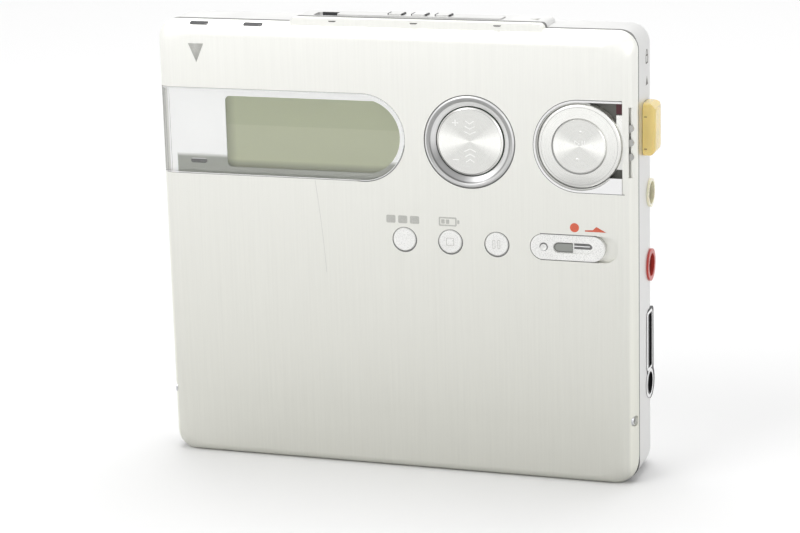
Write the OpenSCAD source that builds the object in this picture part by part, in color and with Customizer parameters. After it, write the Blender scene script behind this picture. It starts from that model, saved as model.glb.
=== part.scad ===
// Portable minidisc player, standing on its bottom edge with the lid to the front.
// X runs across the front, Y from front to back, Z up. Lengths are in millimetres.

/* [Body] */
// Width of the player
body_w = 78; // [78:0.5:84]
// Height of the player as it stands
body_h = 71.5; // [71.5:0.5:78]
// Depth from the face of the lid to the back
body_d = 15.5; // [15.5:0.1:18]
// Wall of the base casing
wall = 0.7; // [0.5:0.05:0.8]
// Radius of the edges round the back
back_r = 5.5; // [4.5:0.25:5.5]
// Radius of the bottom edge at the back
foot_r = 3; // [2:0.25:3]
// Corner radius of the casing seen from the front
corner_r = 3; // [2:0.25:4]
// Gap between the lid and the base
seam = 0.15; // [0.1:0.05:0.2]

/* [Lid] */
// Depth of the lid
lid_d = 2.85; // [2.85:0.05:3.2]
// Sheet of the lid's face
lid_skin = 0.6; // [0.5:0.05:0.6]
// Wall of the lid at its sides and top
lid_wall = 1.6; // [1.4:0.1:1.8]
// Radius of the lid's front edge
lid_edge_r = 2.6; // [2:0.1:2.8]
// Radius of the pins that the lid turns on
pin_r = 0.5; // [0.4:0.05:0.5]
// Length of each hinge pin
pin_l = 9; // [8:0.5:12]
// Distance of each hinge knuckle from the middle
knuckle_x = 29; // [20:0.5:31]
// Width of each hinge knuckle
knuckle_w = 3.6; // [3:0.1:5]

/* [Display] */
// Height of the display window's centre line
window_z = 53.9; // [50:0.1:56]
// Half the height of the window, which is also the radius of its round end
window_r = 6.97; // [6.5:0.05:7.2]
// Right end of the window
window_x1 = 2.5; // [0:0.1:4]
// Thickness of the window
window_t = 1.1; // [1:0.05:1.1]
// Left end of the opening over the display
lcd_x0 = -27.6; // [-29:0.1:-20]
// Bottom of the opening over the display
lcd_z0 = 48.1; // [48:0.1:50]
// Top of the opening over the display
lcd_z1 = 59.6; // [58:0.1:60]
// Thickness of the display cell
lcd_t = 0.7; // [0.5:0.05:0.7]

/* [Volume pad] */
// Place of the pad across the front
pad_x = 13; // [12:0.1:14]
// Height of the pad's centre
pad_z = 53.9; // [52:0.1:56]
// Outer radius of the pad's chrome ring
pad_ring_r = 7.27; // [6.8:0.05:7.4]
// Radius of the disc that is pressed
pad_cap_r = 5.35; // [5:0.05:5.8]

/* [Jog lever] */
// Place of the jog lever across the front
jog_x = 30.4; // [30:0.1:31]
// Height of the jog lever's centre
jog_z = 53.9; // [52:0.1:56]
// Half the height of the well round the lever
jog_well_r = 7.15; // [7:0.05:7.4]
// Radius of the turning disc
jog_r = 6.65; // [6.2:0.05:6.7]
// Radius of the push button in its middle
jog_button_r = 4.3; // [3.5:0.05:4.5]
// Height of the thumb grip on the lid's edge
jog_grip_z = 54.6; // [54:0.1:56]
// Distance between the grip's ribs
jog_grip_pitch = 2.2; // [1.6:0.1:2.4]

/* [Buttons] */
// Radius of the small round buttons
key_r = 1.9; // [1.6:0.05:2.2]
// Height of the row of buttons
key_z = 37.9; // [36:0.1:40]
// Place of the first button
key_x = 2.07; // [0:0.1:4]
// Distance between buttons
key_pitch = 7.52; // [6:0.1:8]
// Travel of a button
key_travel = 0.4; // [0.2:0.05:0.4]
// Left end of the record slider's recess
rec_x0 = 22.5; // [22.5:0.1:23.5]
// Right end of the record slider's recess
rec_x1 = 36.4; // [35.5:0.1:36.5]
// Half the height of the record slider's recess
rec_r = 2.05; // [1.8:0.05:2.2]
// Travel of the record slider
rec_travel = 2; // [1.5:0.1:2]

/* [Top slider] */
// Left end of the rail along the top
rail_x0 = -16.4; // [-20:0.1:-15]
// Right end of the rail along the top
rail_x1 = 24.6; // [20:0.1:26]
// Height of the rail above the casing
rail_h = 0.8; // [0.6:0.05:1]
// Length of the opening slider
open_l = 26.8; // [20:0.1:27]
// Travel of the opening slider
open_travel = 3; // [2:0.1:3]
// Distance of each catch from the middle
catch_x = 20; // [18:0.5:24]

/* [Right side] */
// Height of the hold slider's middle
hold_z = 55.7; // [54:0.1:57]
// Length of the hold slider
hold_l = 8.3; // [7:0.1:9]
// Width of the hold slider
hold_w = 4.9; // [4:0.1:5]
// How far the hold slider stands out
hold_out = 2; // [1:0.1:2.2]
// Travel of the hold slider
hold_travel = 2; // [1:0.1:2]
// Radius of a jack's bore
jack_bore_r = 1.8; // [1.78:0.01:1.8]
// Depth of a jack's bore
jack_depth = 14; // [12:0.5:15]
// Height of the microphone jack
mic_z = 33.2; // [32:0.1:35]
// Radius of the microphone jack's ring
mic_ring_r = 2.55; // [2.3:0.05:2.6]
// Height of the line jack
line_z = 44.8; // [41.5:0.1:46]
// Radius of the line jack's ring
line_ring_r = 2.25; // [2.2:0.05:2.5]
// Height of the round hole of the remote socket
remote_z = 14; // [13:0.1:14.5]
// Length of the remote socket's slot
remote_slot_l = 9; // [7:0.1:9.5]

/* [Disc bay] */
// Width of a disc cartridge
disc_w = 72; // [72:0.1:72.3]
// Height of a disc cartridge as it stands in the player
disc_h = 68; // [68:0.1:68.3]
// Thickness of a disc cartridge
disc_t = 5; // [5:0.05:5.1]
// Sheet of the disc holder
sheet = 0.2; // [0.15:0.05:0.2]

/* [Drive] */
// Thickness of the chassis plate
chassis_t = 0.5; // [0.4:0.05:0.6]
// Radius of the turntable
turn_r = 5.5; // [5:0.1:6]
// Radius of the spindle motor
motor_r = 8; // [7:0.1:9]
// Distance between the two guide rods
rod_gap = 16; // [15:0.5:18]
// Radius of a guide rod
rod_r = 0.6; // [0.5:0.05:0.7]
// Travel of the pickup
sled_travel = 14; // [10:0.5:14]
// Size of a gear tooth: pitch radius divided by half the number of teeth
gear_module = 0.2; // [0.18:0.01:0.2]
// Teeth on the lead screw's gear
screw_teeth = 20; // [16:1:20]
// Teeth on the motor's pinion
pinion_teeth = 10; // [9:1:12]

/* [Battery] */
// Length of the flat battery
battery_l = 48.5; // [40:0.5:48.5]
// Height of the battery as it lies
battery_w = 17; // [16:0.1:17]
// Thickness of the battery
battery_t = 6.1; // [5.8:0.05:6.1]

/* [Hidden] */
$fn = 64;
eps = 0.01;
fit = 0.03;
run_gap = 0.05;
free_gap = 0.15;

// Planes from the front to the back
front_y = -body_d / 2;
back_y = body_d / 2;
skin_y = front_y + lid_skin;
window_y = front_y + window_t;
mask_t = 0.15;
lid_back_y = front_y + lid_d;
base_y = lid_back_y + seam;
frame_t = 0.3;
frame_y1 = lid_back_y - 0.5;
frame_y0 = frame_y1 - frame_t;
board_t = 0.25;
board_y1 = frame_y0 - run_gap;
board_y0 = board_y1 - board_t;
holder_y0 = base_y + run_gap;
disc_y0 = holder_y0 + sheet;
disc_y1 = disc_y0 + disc_t;
holder_y1 = disc_y1 + sheet;
chassis_y0 = holder_y1 + 0.25;
chassis_y1 = chassis_y0 + chassis_t;
inner_y = back_y - wall;

// Planes across and up
half_w = body_w / 2;
inner_x = half_w - wall;
inner_top = body_h - wall;
lid_in_x = half_w - lid_wall;
lid_in_z0 = lid_d + 0.35;
lid_in_z1 = body_h - lid_wall;

// The lid turns on pins in the middle of its round bottom edge
hinge_y = front_y + lid_d / 2;
hinge_z = lid_d / 2;
hinge_r = lid_d / 2;
ear_r = pin_r + 0.45;
ear_space_r = ear_r + free_gap;

// The disc holder stands in the base and tilts on two studs
disc_z0 = wall + 1.3;
disc_z1 = disc_z0 + disc_h;
disc_mid_z = disc_z0 + disc_h / 2;
holder_in_x = disc_w / 2 + 0.15;
holder_out_x = holder_in_x + sheet;
holder_z0 = disc_z0 - sheet;
stud_r = 0.6;
spring_z = disc_z0 + 12;
stud_y = disc_y0 + disc_t / 2;
stud_z = disc_z0 + 1.4;
ear_x0 = holder_out_x + 0.55;
ear_t = 0.4;
ear_x1 = ear_x0 + ear_t;
ear_z0 = stud_z - 1.3;
ear_z1 = stud_z + 5;

// The small keys
key_xs = [key_x, key_x + key_pitch, key_x + 2 * key_pitch];
key_flange = 0.45;
key_proud = 0.1;
key_back_y = board_y0 - free_gap - key_travel;

// The jog lever's parts lie one behind the other
jog_floor_y = board_y0 - 0.05;
jog_back_y = jog_floor_y - 0.1;
jog_slot_z0 = jog_z - 4.7;
jog_slot_z1 = jog_z + 6.2;
jog_well_x1 = half_w - 1.9;
jog_rim = 0.3;
jog_arm_y0 = front_y + 0.9;
jog_arm_x1 = half_w - 1.5;
// The slit on the lid's round edge that the thumb grip shows in
jog_slit_x0 = half_w - 1;
jog_slit_y1 = front_y + 1.2;

// The pad tilts on a rocker
pad_pivot_y = skin_y + 0.55;
pad_back_y = skin_y + 0.15;

// The jacks and the remote socket share one line up the side
jack_y = chassis_y0 + jack_bore_r + 0.1;
jack_out = 0.3;
jack_x1 = half_w + jack_out;
jack_x0 = jack_x1 - jack_depth - 0.8;
jack_body_y1 = jack_y + jack_bore_r + 1.1;
jack_half_z = 2.9;
jack_body_x1 = inner_x - run_gap - drawn_in(jack_body_y1 - inner_y + back_r - wall, back_r - wall);
remote_slot_z0 = remote_z + jack_bore_r + 0.8;
remote_slot_z1 = remote_slot_z0 + remote_slot_l;
remote_r = jack_bore_r + 0.8;

// The drive behind the chassis plate
drive_y = chassis_y1 + 2.35;
screw_r = 0.8;
screw_z = disc_mid_z + rod_gap / 2 + 4.2;
bearing_w = 1.2;
bearing_y1 = drive_y + screw_r + 0.5;
rod_x0 = -inner_x + drawn_in(bearing_y1 - inner_y + back_r - wall, back_r - wall) + free_gap;
sled_w = 12;
sled_x1 = rod_x0 + bearing_w + 0.1 + sled_travel + sled_w;
rod_x1 = sled_x1 + 0.6 + bearing_w;
gear_w = 1.2;
gear_x = rod_x1 + 0.4;
pinion_z = screw_z + gear_module * (screw_teeth + pinion_teeth) / 2 + 0.04;
sled_motor_r = 1.85;
sled_motor_l = 10;
plate_x1 = max(ear_x1, -rod_x0 - 0.3);
board2_y1 = inner_y - 0.3;
board2_y0 = board2_y1 - 0.6;

// The battery lies along the bottom behind the chassis plate
battery_y1 = inner_y - run_gap;
battery_y0 = battery_y1 - battery_t;
battery_z0 = wall + foot_r - 0.5;
battery_z1 = battery_z0 + battery_w;
battery_x0 = -half_w + back_r + 0.1;
battery_x1 = battery_x0 + battery_l;
door_x1 = battery_x0 - 0.1;
door_z0 = battery_z0 - 0.6;
door_z1 = battery_z1 + 0.6;
door_y0 = chassis_y0 - 0.6;
door_pin_r = 0.3;
door_hinge_y = back_y - wall / 2;

// The opening slider on the top
rail_z = body_h + rail_h;
rail_y0 = base_y;
rail_y1 = 1;
open_y0 = rail_y0 + 1.2;
open_y1 = rail_y1 - 1.2;
open_x0 = rail_x0 + 6.7;
open_x1 = open_x0 + open_l;
latch_z0 = disc_z1 + 0.25;
latch_z1 = inner_top - 0.15;
catch_w = 1.6;
catch_y1 = lid_back_y + 1.5;

// The hold slider's foot inside the wall
hold_foot_t = 0.5;
hold_foot_r = 2.6;

// Small places that several pieces share
screw_seat_z = 10.3;
led_x0 = -half_w + 5.1;
led_x1 = led_x0 + 2.8;
led_z = lcd_z0 + 0.8;
led_r = 0.4;
rec_floor_y = skin_y + 0.35;
head_x = 14;
head_pivot_x = disc_w / 2 - 4;
open_mid_x = (open_x0 + open_x1) / 2;
case_screw_r = 0.55;
post_r = 1.4;
case_screw_xs = [-half_w + 19, half_w - 19];
case_screw_zs = [battery_z1 + 3, body_h - 9];

// Shared shapes

// A block between two corners
module block(x0, x1, y0, y1, z0, z1) {
  translate([x0, y0, z0]) cube([x1 - x0, y1 - y0, z1 - z0]);
}

// A round bar along X
module bar_x(x0, x1, y, z, r) {
  translate([x0, y, z]) rotate([0, 90, 0]) cylinder(r = r, h = x1 - x0);
}

// A round bar along Y
module bar_y(x, z, y0, y1, r) {
  translate([x, y0, z]) rotate([-90, 0, 0]) cylinder(r = r, h = y1 - y0);
}

// A flat drawing seen from the front, thick from y0 to y1
module from_front(y0, y1) {
  translate([0, y1, 0]) rotate([90, 0, 0]) linear_extrude(y1 - y0) children();
}

// A flat drawing of Y and Z, thick from x0 to x1
module from_side(x0, x1) {
  translate([x0, 0, 0]) rotate([90, 0, 90]) linear_extrude(x1 - x0) children();
}

// A profile of radius and Y turned about a line along Y
module turned(x, z) {
  translate([x, 0, z]) rotate([-90, 0, 0]) rotate_extrude() children();
}

// A rectangle with round corners
module round_rect(x0, x1, z0, z1, r) {
  translate([x0 + r, z0]) square([x1 - x0 - 2 * r, z1 - z0]);
  translate([x0, z0 + r]) square([x1 - x0, z1 - z0 - 2 * r]);
  for (x = [x0 + r, x1 - r])
    for (z = [z0 + r, z1 - r])
      translate([x, z]) circle(r);
}

// A slot with two round ends
module pill(x0, x1, z, r) {
  translate([x0 + r, z - r]) square([x1 - x0 - 2 * r, 2 * r]);
  for (x = [x0 + r, x1 - r]) translate([x, z]) circle(r);
}

// How far a quarter-round edge has drawn in at depth d past its start
function drawn_in(d, r) = r - sqrt(max(0, r * r - max(0, d) * max(0, d)));

// A thin slice of a form at depth y, with round corners
module slice(y, half, z0, z1, r) {
  for (x = [-half + r, half - r])
    for (z = [z0 + r, z1 - r])
      translate([x, y, z]) rotate([-90, 0, 0]) cylinder(r = r, h = eps, $fn = 32);
}

// The base's outside, drawn in by a wall where it is hollow
module base_form(in, y0) {
  y_end = back_y - in;
  r = back_r - in;
  rf = foot_r - in;
  steps = [15, 30, 45, 60, 75, 90];
  ys = concat([y0], [y_end - r], [for (a = steps) y_end - r + r * sin(a) - eps], [y_end - rf]);
  hull()
    for (y = ys)
      slice(y, half_w - in - drawn_in(y - y_end + r, r), in + drawn_in(y - y_end + rf, rf),
        body_h - in - drawn_in(y - y_end + r, r), corner_r - in);
}

// The lid's outside: a round front edge on three sides and a full round along the hinge
module lid_form() {
  r = lid_edge_r;
  ys = concat([for (a = [90, 72, 54, 36, 18, 0]) front_y + r * (1 - sin(a))],
    [for (a = [30, 60, 80]) hinge_y + hinge_r * sin(a)], [lid_back_y - eps]);
  hull()
    for (y = ys)
      slice(y, half_w - drawn_in(front_y + r - y, r),
        hinge_z - sqrt(max(0, hinge_r * hinge_r - (y - hinge_y) * (y - hinge_y))),
        body_h - drawn_in(front_y + r - y, r), corner_r);
}

// The window's outline, which runs off the lid's left edge
module window_outline(grow) {
  x = window_x1 - window_r;
  translate([-half_w - 1, window_z - window_r - grow])
    square([x + half_w + 1, 2 * (window_r + grow)]);
  translate([x, window_z]) circle(window_r + grow);
}

// The outline of the jog lever's well, which is open to the right
module well_outline(grow) {
  circle_r = jog_well_r + grow;
  translate([jog_x, jog_z]) circle(circle_r);
  translate([jog_x, jog_z - circle_r]) square([jog_well_x1 - jog_x + grow, 2 * circle_r]);
}

// Lid

module lid_shell() {
  color("whitesmoke") {
    difference() {
      union() {
        lid_form();
        // Raised lip in front of the rail
        from_front(front_y + 1.3, lid_back_y) round_rect(rail_x0, rail_x1, body_h - 2, rail_z, rail_h);
      }
      // Hollow behind the face
      from_front(skin_y, lid_back_y + 1)
        round_rect(-lid_in_x, lid_in_x, lid_in_z0, lid_in_z1, 1.5);
      // Seat of the window, open to the left
      from_front(front_y - 1, window_y) window_outline(fit);
      // Holes for the pad, the jog lever, the keys and the record slider
      bar_y(pad_x, pad_z, front_y - 1, skin_y + 1, pad_ring_r + fit);
      from_front(front_y - 1, jog_floor_y + 0.2 + fit) well_outline(fit);
      for (x = key_xs) bar_y(x, key_z, front_y - 1, skin_y + 1, key_r + run_gap);
      from_front(front_y - 1, skin_y + 1) pill(rec_x0 - fit, rec_x1 + fit, key_z, rec_r + fit);
      // Way of the lever's arm under the edge, and the slit for its thumb grip
      block(lid_in_x - 0.1, half_w - 0.75, jog_arm_y0 - run_gap, jog_floor_y, jog_slot_z0, jog_slot_z1);
      block(jog_slit_x0, half_w + 1, front_y - 1, jog_slit_y1, jog_slot_z0, jog_slot_z1);
      // Space for the base's knuckles
      for (s = [-1, 1]) {
        bar_x(s * knuckle_x - knuckle_w / 2 - free_gap, s * knuckle_x + knuckle_w / 2 + free_gap,
          hinge_y, hinge_z, ear_space_r);
        block(s * knuckle_x - knuckle_w / 2 - free_gap, s * knuckle_x + knuckle_w / 2 + free_gap,
          hinge_y, lid_back_y + 1, -1, hinge_z + 0.6);
        bar_x(s * knuckle_x - pin_l / 2, s * knuckle_x + pin_l / 2, hinge_y, hinge_z, pin_r);
        // Seats of the side screws
        bar_x(s > 0 ? half_w - 0.75 : -half_w - 1, s > 0 ? half_w + 1 : -half_w + 0.75,
          hinge_y + 0.1, screw_seat_z, 0.85);
        bar_x(s > 0 ? lid_in_x - 0.1 : -half_w, s > 0 ? half_w : -lid_in_x + 0.1,
          hinge_y + 0.1, screw_seat_z, 0.43);
      }
    }
    // Hooks that the latch holds
    for (s = [-1, 1])
      block(s * catch_x - catch_w / 2, s * catch_x + catch_w / 2, lid_back_y - 0.4, catch_y1,
        latch_z0, latch_z1);
  }
}

module lid_frame() {
  color("silver") difference() {
    from_front(frame_y0, frame_y1)
      round_rect(-lid_in_x + run_gap, lid_in_x - run_gap, lid_in_z0 + run_gap,
        lid_in_z1 - run_gap, 1.4);
    // Lightening holes round the middle
    for (a = [0:60:300])
      bar_y(18 * cos(a), disc_mid_z - 6 + 18 * sin(a), frame_y0 - 1, frame_y1 + 1, 3.2);
  }
}

module lid_board() {
  color("darkolivegreen") {
    from_front(board_y0, board_y1) {
      round_rect(key_x - 4, lid_in_x - 0.6, key_z - 5, key_z + 5.5, 1);
      round_rect(pad_x - 8, pad_x + 9, key_z, pad_z + 8, 1);
    }
    // Snap domes under the keys and the pad
    for (x = key_xs) bar_y(x, key_z, board_y0 - 0.12, board_y0, 1.3);
    for (a = [0:90:270])
      bar_y(pad_x + 4.4 * cos(a), pad_z + 4.4 * sin(a), board_y0 - 0.12, board_y0, 1);
  }
}

module lid_screws() {
  color("gray") for (s = [-1, 1]) {
    bar_x(s > 0 ? half_w - 0.75 : -half_w + 0.45, s > 0 ? half_w - 0.45 : -half_w + 0.75,
      hinge_y + 0.1, screw_seat_z, 0.8);
    bar_x(s > 0 ? lid_in_x - 0.1 : -half_w + 0.75, s > 0 ? half_w - 0.75 : -lid_in_x + 0.1,
      hinge_y + 0.1, screw_seat_z, 0.4);
  }
}

module hinge_pins() {
  color("gray") for (s = [-1, 1])
    bar_x(s * knuckle_x - pin_l / 2, s * knuckle_x + pin_l / 2, hinge_y, hinge_z, pin_r);
}

module display_window() {
  color("lightgray", 0.5) intersection() {
    lid_form();
    from_front(front_y - 1, window_y - fit) window_outline(0);
  }
}

module window_mask() {
  color("gainsboro") difference() {
    intersection() {
      from_front(window_y + eps, window_y + mask_t) window_outline(0.2);
      block(-lid_in_x + fit, window_x1 + 1, front_y, lid_back_y, 0, body_h);
    }
    from_front(window_y - 1, window_y + 1) {
      round_rect(lcd_x0, window_x1 - 6, lcd_z0, lcd_z1, 0.8);
      intersection() {
        translate([window_x1 - window_r, window_z]) circle(window_r - 1);
        translate([window_x1 - 7.5, lcd_z0]) square([8, lcd_z1 - lcd_z0]);
      }
      pill(led_x0, led_x1, led_z, led_r);
    }
  }
}

module lcd_panel() {
  color("darkseagreen") from_front(window_y + mask_t + fit, window_y + mask_t + fit + lcd_t)
    round_rect(lcd_x0 - 0.9, window_x1 - 0.8, lcd_z0 - 0.9, lcd_z1 + 0.7, 0.5);
}

module led_lens() {
  color("dimgray") from_front(window_y + eps, window_y + mask_t + 0.4)
    pill(led_x0 + fit, led_x1 - fit, led_z, led_r - fit);
}

module pad_ring() {
  // A flat rim, and a slope down to the cap
  r1 = pad_ring_r;
  r0 = pad_cap_r + 0.2;
  rim_r0 = r1 - 0.72;
  round_r = 0.35;
  f = front_y - 0.15;
  color("silver") turned(pad_x, pad_z)
    polygon(concat([[r0, pad_back_y], [r0, pad_back_y - 0.2], [rim_r0, f + 0.08], [rim_r0 + 0.1, f]],
      [for (a = [90:-15:0]) [r1 - round_r + round_r * cos(a), f + round_r - round_r * sin(a)]],
      [[r1, skin_y + fit], [r1 + 0.5, skin_y + fit], [r1 + 0.5, pad_back_y]]));
}

module pad_rocker() {
  color("dimgray") difference() {
    bar_y(pad_x, pad_z, pad_pivot_y, pad_pivot_y + 0.2, 3);
    for (a = [45:90:315])
      bar_y(pad_x + 1.9 * cos(a), pad_z + 1.9 * sin(a), pad_pivot_y - 1, pad_pivot_y + 1, 0.5);
  }
}

// Points of a shallow dish from its middle out to radius r, sunk by deep in the middle
function dished(r, y, deep) = [for (i = [0:6]) [r * i / 6, y + deep * (1 - i * i / 36)]];

module pad_cap() {
  color("silver") turned(pad_x, pad_z)
    polygon(concat(dished(pad_cap_r - 0.25, front_y + 0.2, 0.2),
      [[pad_cap_r, front_y + 0.4], [pad_cap_r, pad_back_y - 0.05], [1, pad_back_y - 0.05],
        [1, pad_pivot_y - 0.1], [0, pad_pivot_y - 0.1]]));
}

module jog_bezel() {
  color("silver") difference() {
    from_front(front_y - 0.05, jog_floor_y - fit) well_outline(0);
    // Round hole for the disc, open to the right above a filled corner
    from_front(front_y - 1, jog_floor_y + 1) {
      translate([jog_x, jog_z]) circle(jog_well_r - jog_rim);
      translate([jog_x, jog_slot_z0])
        square([jog_well_x1 - jog_x + 1, jog_z + jog_well_r - jog_rim - jog_slot_z0]);
    }
  }
}

module jog_well() {
  color("dimgray") difference() {
    from_front(jog_floor_y, jog_floor_y + 0.2) well_outline(-fit);
    bar_y(jog_x, jog_z, jog_floor_y - 1, jog_floor_y + 1, 1.5);
  }
}

module jog_dial() {
  f = front_y + 0.15;
  b = jog_back_y;
  round_r = 0.6;
  grip_x = half_w - 0.8;
  grip_y1 = jog_slit_y1 - run_gap;
  color("gainsboro") {
    difference() {
      union() {
        turned(jog_x, jog_z)
          polygon(concat([[0, f]],
            [for (a = [90:-18:0]) [jog_r - round_r + round_r * cos(a), f + round_r - round_r * sin(a)]],
            [[jog_r, b], [0, b]]));
        // Arm out to the thumb grip
        block(jog_x + jog_r - 1, jog_arm_x1, jog_arm_y0, b, jog_slot_z0 + 1.2, jog_slot_z1 - 1.3);
      }
      bar_y(jog_x, jog_z, f - 1, b + 1, jog_button_r + run_gap);
    }
    // Thumb grip: a thin lip with ribs that stand in the slit
    block(jog_arm_x1 - 0.1, jog_slit_x0, jog_arm_y0, grip_y1,
      jog_grip_z - jog_grip_pitch - 0.3, jog_grip_z + jog_grip_pitch + 0.3);
    for (i = [-1:1])
      bar_y(grip_x, jog_grip_z + i * jog_grip_pitch, jog_arm_y0, grip_y1, 0.55);
  }
}

module jog_button() {
  f = front_y + 0.05;
  r = jog_button_r;
  color("lightgray") turned(jog_x, jog_z)
    polygon(concat(dished(r - 0.25, f, 0.15),
      [[r, f + 0.25], [r, f + 0.7], [1.2, f + 0.7], [1.2, jog_floor_y - 0.3],
        [0, jog_floor_y - 0.3]]));
}

// A round key with a flange behind the face and a stem to its dome
module round_key(x) {
  f = front_y - key_proud;
  r = key_r;
  turned(x, key_z)
    polygon([[0, f], [r - 0.2, f], [r, f + 0.2], [r, skin_y + run_gap],
      [r + key_flange, skin_y + run_gap], [r + key_flange, skin_y + 0.25],
      [0.7, skin_y + 0.25], [0.7, key_back_y], [0, key_back_y]]);
}

module group_button() {
  color("white") round_key(key_xs[0]);
}

module stop_button() {
  color("white") round_key(key_xs[1]);
}

module pause_button() {
  color("white") round_key(key_xs[2]);
}

module rec_track() {
  color("silver") difference() {
    from_front(skin_y + fit, rec_floor_y + 0.2) pill(rec_x0 - 0.5, rec_x1 + 0.5, key_z, rec_r + 0.5);
    from_front(front_y, rec_floor_y) pill(rec_x0, rec_x1, key_z, rec_r);
    from_front(front_y, lid_back_y) pill(rec_x0 + 4.4, rec_x0 + 7.6 + rec_travel, key_z, 0.6);
  }
}

module rec_knob() {
  x0 = rec_x0 + run_gap;
  x1 = rec_x1 - rec_travel - run_gap;
  f = front_y + 0.05;
  r = rec_r - run_gap;
  color("gainsboro") {
    difference() {
      from_front(f, rec_floor_y - run_gap) pill(x0, x1, key_z, r);
      // Long finger groove and a round dimple
      from_front(f - 1, f + 0.3) pill(x0 + 3.6, x0 + 9.9, key_z, 0.85);
      translate([x0 + 2.1, f - 0.55, key_z]) sphere(0.9);
    }
    from_front(rec_floor_y - run_gap - eps, board_y0 - free_gap) pill(x0 + 4.6, x0 + 7.2, key_z, 0.5);
  }
}

// Disc holder and recording head

module disc_holder() {
  slot_x1 = head_pivot_x + 1;
  color("lightsteelblue") {
    difference() {
      union() {
        block(-holder_out_x, holder_out_x, holder_y0, holder_y0 + sheet, holder_z0, disc_z1);
        block(-holder_out_x, holder_out_x, holder_y0, holder_y1, holder_z0, disc_z0);
        for (s = [-1, 1]) {
          block(s > 0 ? holder_in_x : -holder_out_x, s > 0 ? holder_out_x : -holder_in_x,
            holder_y0, holder_y1, holder_z0, disc_z1);
          // Lips folded behind the cartridge
          block(s > 0 ? holder_in_x - 1.6 : -holder_out_x, s > 0 ? holder_out_x : -holder_in_x + 1.6,
            disc_y1, holder_y1, disc_z0 + 4, disc_z1 - 2);
          bar_x(s > 0 ? holder_in_x : -ear_x1, s > 0 ? ear_x1 : -holder_in_x, stud_y, stud_z, stud_r);
        }
      }
      // Window for the recording head, and a window at the middle
      from_front(holder_y0 - 1, disc_y0 + eps) {
        round_rect(head_x - 3, slot_x1, disc_mid_z - 4, disc_mid_z + 4, 1);
        translate([0, disc_mid_z]) circle(6);
        round_rect(-holder_in_x + 6.15, -12, disc_mid_z - 14, disc_mid_z + 14, 2);
      }
      // Mouth for the fingers along the top edge
      from_front(holder_y0 - 1, disc_y0 + eps) translate([0, disc_z1 + 4]) circle(14);
    }
  }
}

module holder_springs() {
  // Each leaf is a bowed strip: how far along it, and how far its bow stands out
  t = 0.12;
  bow = [[0, 0], [4, 0], [8, 0.25], [11, 0.25], [15, 0], [17, 0]];
  n = len(bow) - 1;
  color("silver") for (s = [-1, 1])
    translate([s * (disc_w / 2 - 10), holder_y0, spring_z]) from_side(-1.2, 1.2)
      polygon(concat([for (p = bow) [-p[1], p[0]]],
        [for (i = [n:-1:0]) [-bow[i][1] - t, bow[i][0]]]));
}

module head_arm() {
  y1 = holder_y0 - run_gap;
  color("dimgray") {
    from_front(y1 - 0.2, y1) {
      translate([head_x, disc_mid_z - 1.6]) square([head_pivot_x - head_x, 3.2]);
      translate([head_x, disc_mid_z]) circle(2.2);
    }
    // Head, reaching through the holder's window
    block(head_x - 1.5, head_x + 1.5, y1 - eps, disc_y0 - run_gap, disc_mid_z - 1.2, disc_mid_z + 1.2);
  }
}

// Base casing

// The outline of the left corner that the battery door takes
module door_space(grow) {
  block(-half_w - 1, door_x1 + grow, door_y0 - grow, back_y + 1, door_z0 - grow, door_z1 + grow);
}

module base_shell() {
  color("gainsboro") {
    difference() {
      base_form(0, base_y);
      base_form(wall, base_y - 1);
      // Right side: jacks, socket and the hold slider's slot
      bar_x(inner_x - 3, half_w + 1, jack_y, mic_z, mic_ring_r + fit);
      bar_x(inner_x - 3, half_w + 1, jack_y, line_z, line_ring_r + fit);
      from_side(inner_x - 3, half_w + 1) socket_outline(fit);
      block(inner_x - 1, half_w + 1, -0.7, 0.7, hold_z - 2.2, hold_z + 2.2 + hold_travel);
      // Left side: the battery door with its hinge groove
      door_space(0.1);
      translate([door_x1, door_hinge_y, door_z0]) cylinder(r = wall / 2 + 0.1, h = door_z1 - door_z0);
      block(door_x1 - 1, door_x1 + wall / 2 + 0.15, door_hinge_y, back_y + 1, door_z0, door_z1);
      translate([door_x1, door_hinge_y, door_z0 - 1.2])
        cylinder(r = door_pin_r + run_gap, h = door_z1 - door_z0 + 2.4);
      // Top: slot for the stem of the opening slider
      block(open_mid_x - 1.2 - open_travel, open_mid_x + 1.2, open_y0 + 0.5, open_y1 - 0.5,
        inner_top - 1, body_h + 1);
      // Back: screw seats
      for (x = case_screw_xs)
        for (z = case_screw_zs) {
          bar_y(x, z, inner_y - 1, back_y + 1, case_screw_r + run_gap);
          bar_y(x, z, back_y - 0.35, back_y + 1, 1.3);
        }
    }
    // Knuckles for the lid's pins
    for (s = [-1, 1]) difference() {
      union() {
        bar_x(s * knuckle_x - knuckle_w / 2, s * knuckle_x + knuckle_w / 2, hinge_y, hinge_z, ear_r);
        block(s * knuckle_x - knuckle_w / 2, s * knuckle_x + knuckle_w / 2, hinge_y, base_y + 1.2,
          hinge_z - ear_r + 0.1, wall + 0.5);
      }
      bar_x(s * knuckle_x - knuckle_w, s * knuckle_x + knuckle_w, hinge_y, hinge_z, pin_r + run_gap);
    }
  }
}

module case_screws() {
  color("gray") for (x = case_screw_xs)
    for (z = case_screw_zs) difference() {
      union() {
        bar_y(x, z, back_y - 0.33, back_y - 0.03, 1.25);
        bar_y(x, z, chassis_y1 + 1, back_y - 0.33, case_screw_r);
      }
      // Cross in the head
      for (a = [0, 90])
        translate([x, back_y - 0.03, z]) rotate([0, a, 0]) cube([1.4, 0.3, 0.3], center = true);
    }
}

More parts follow.
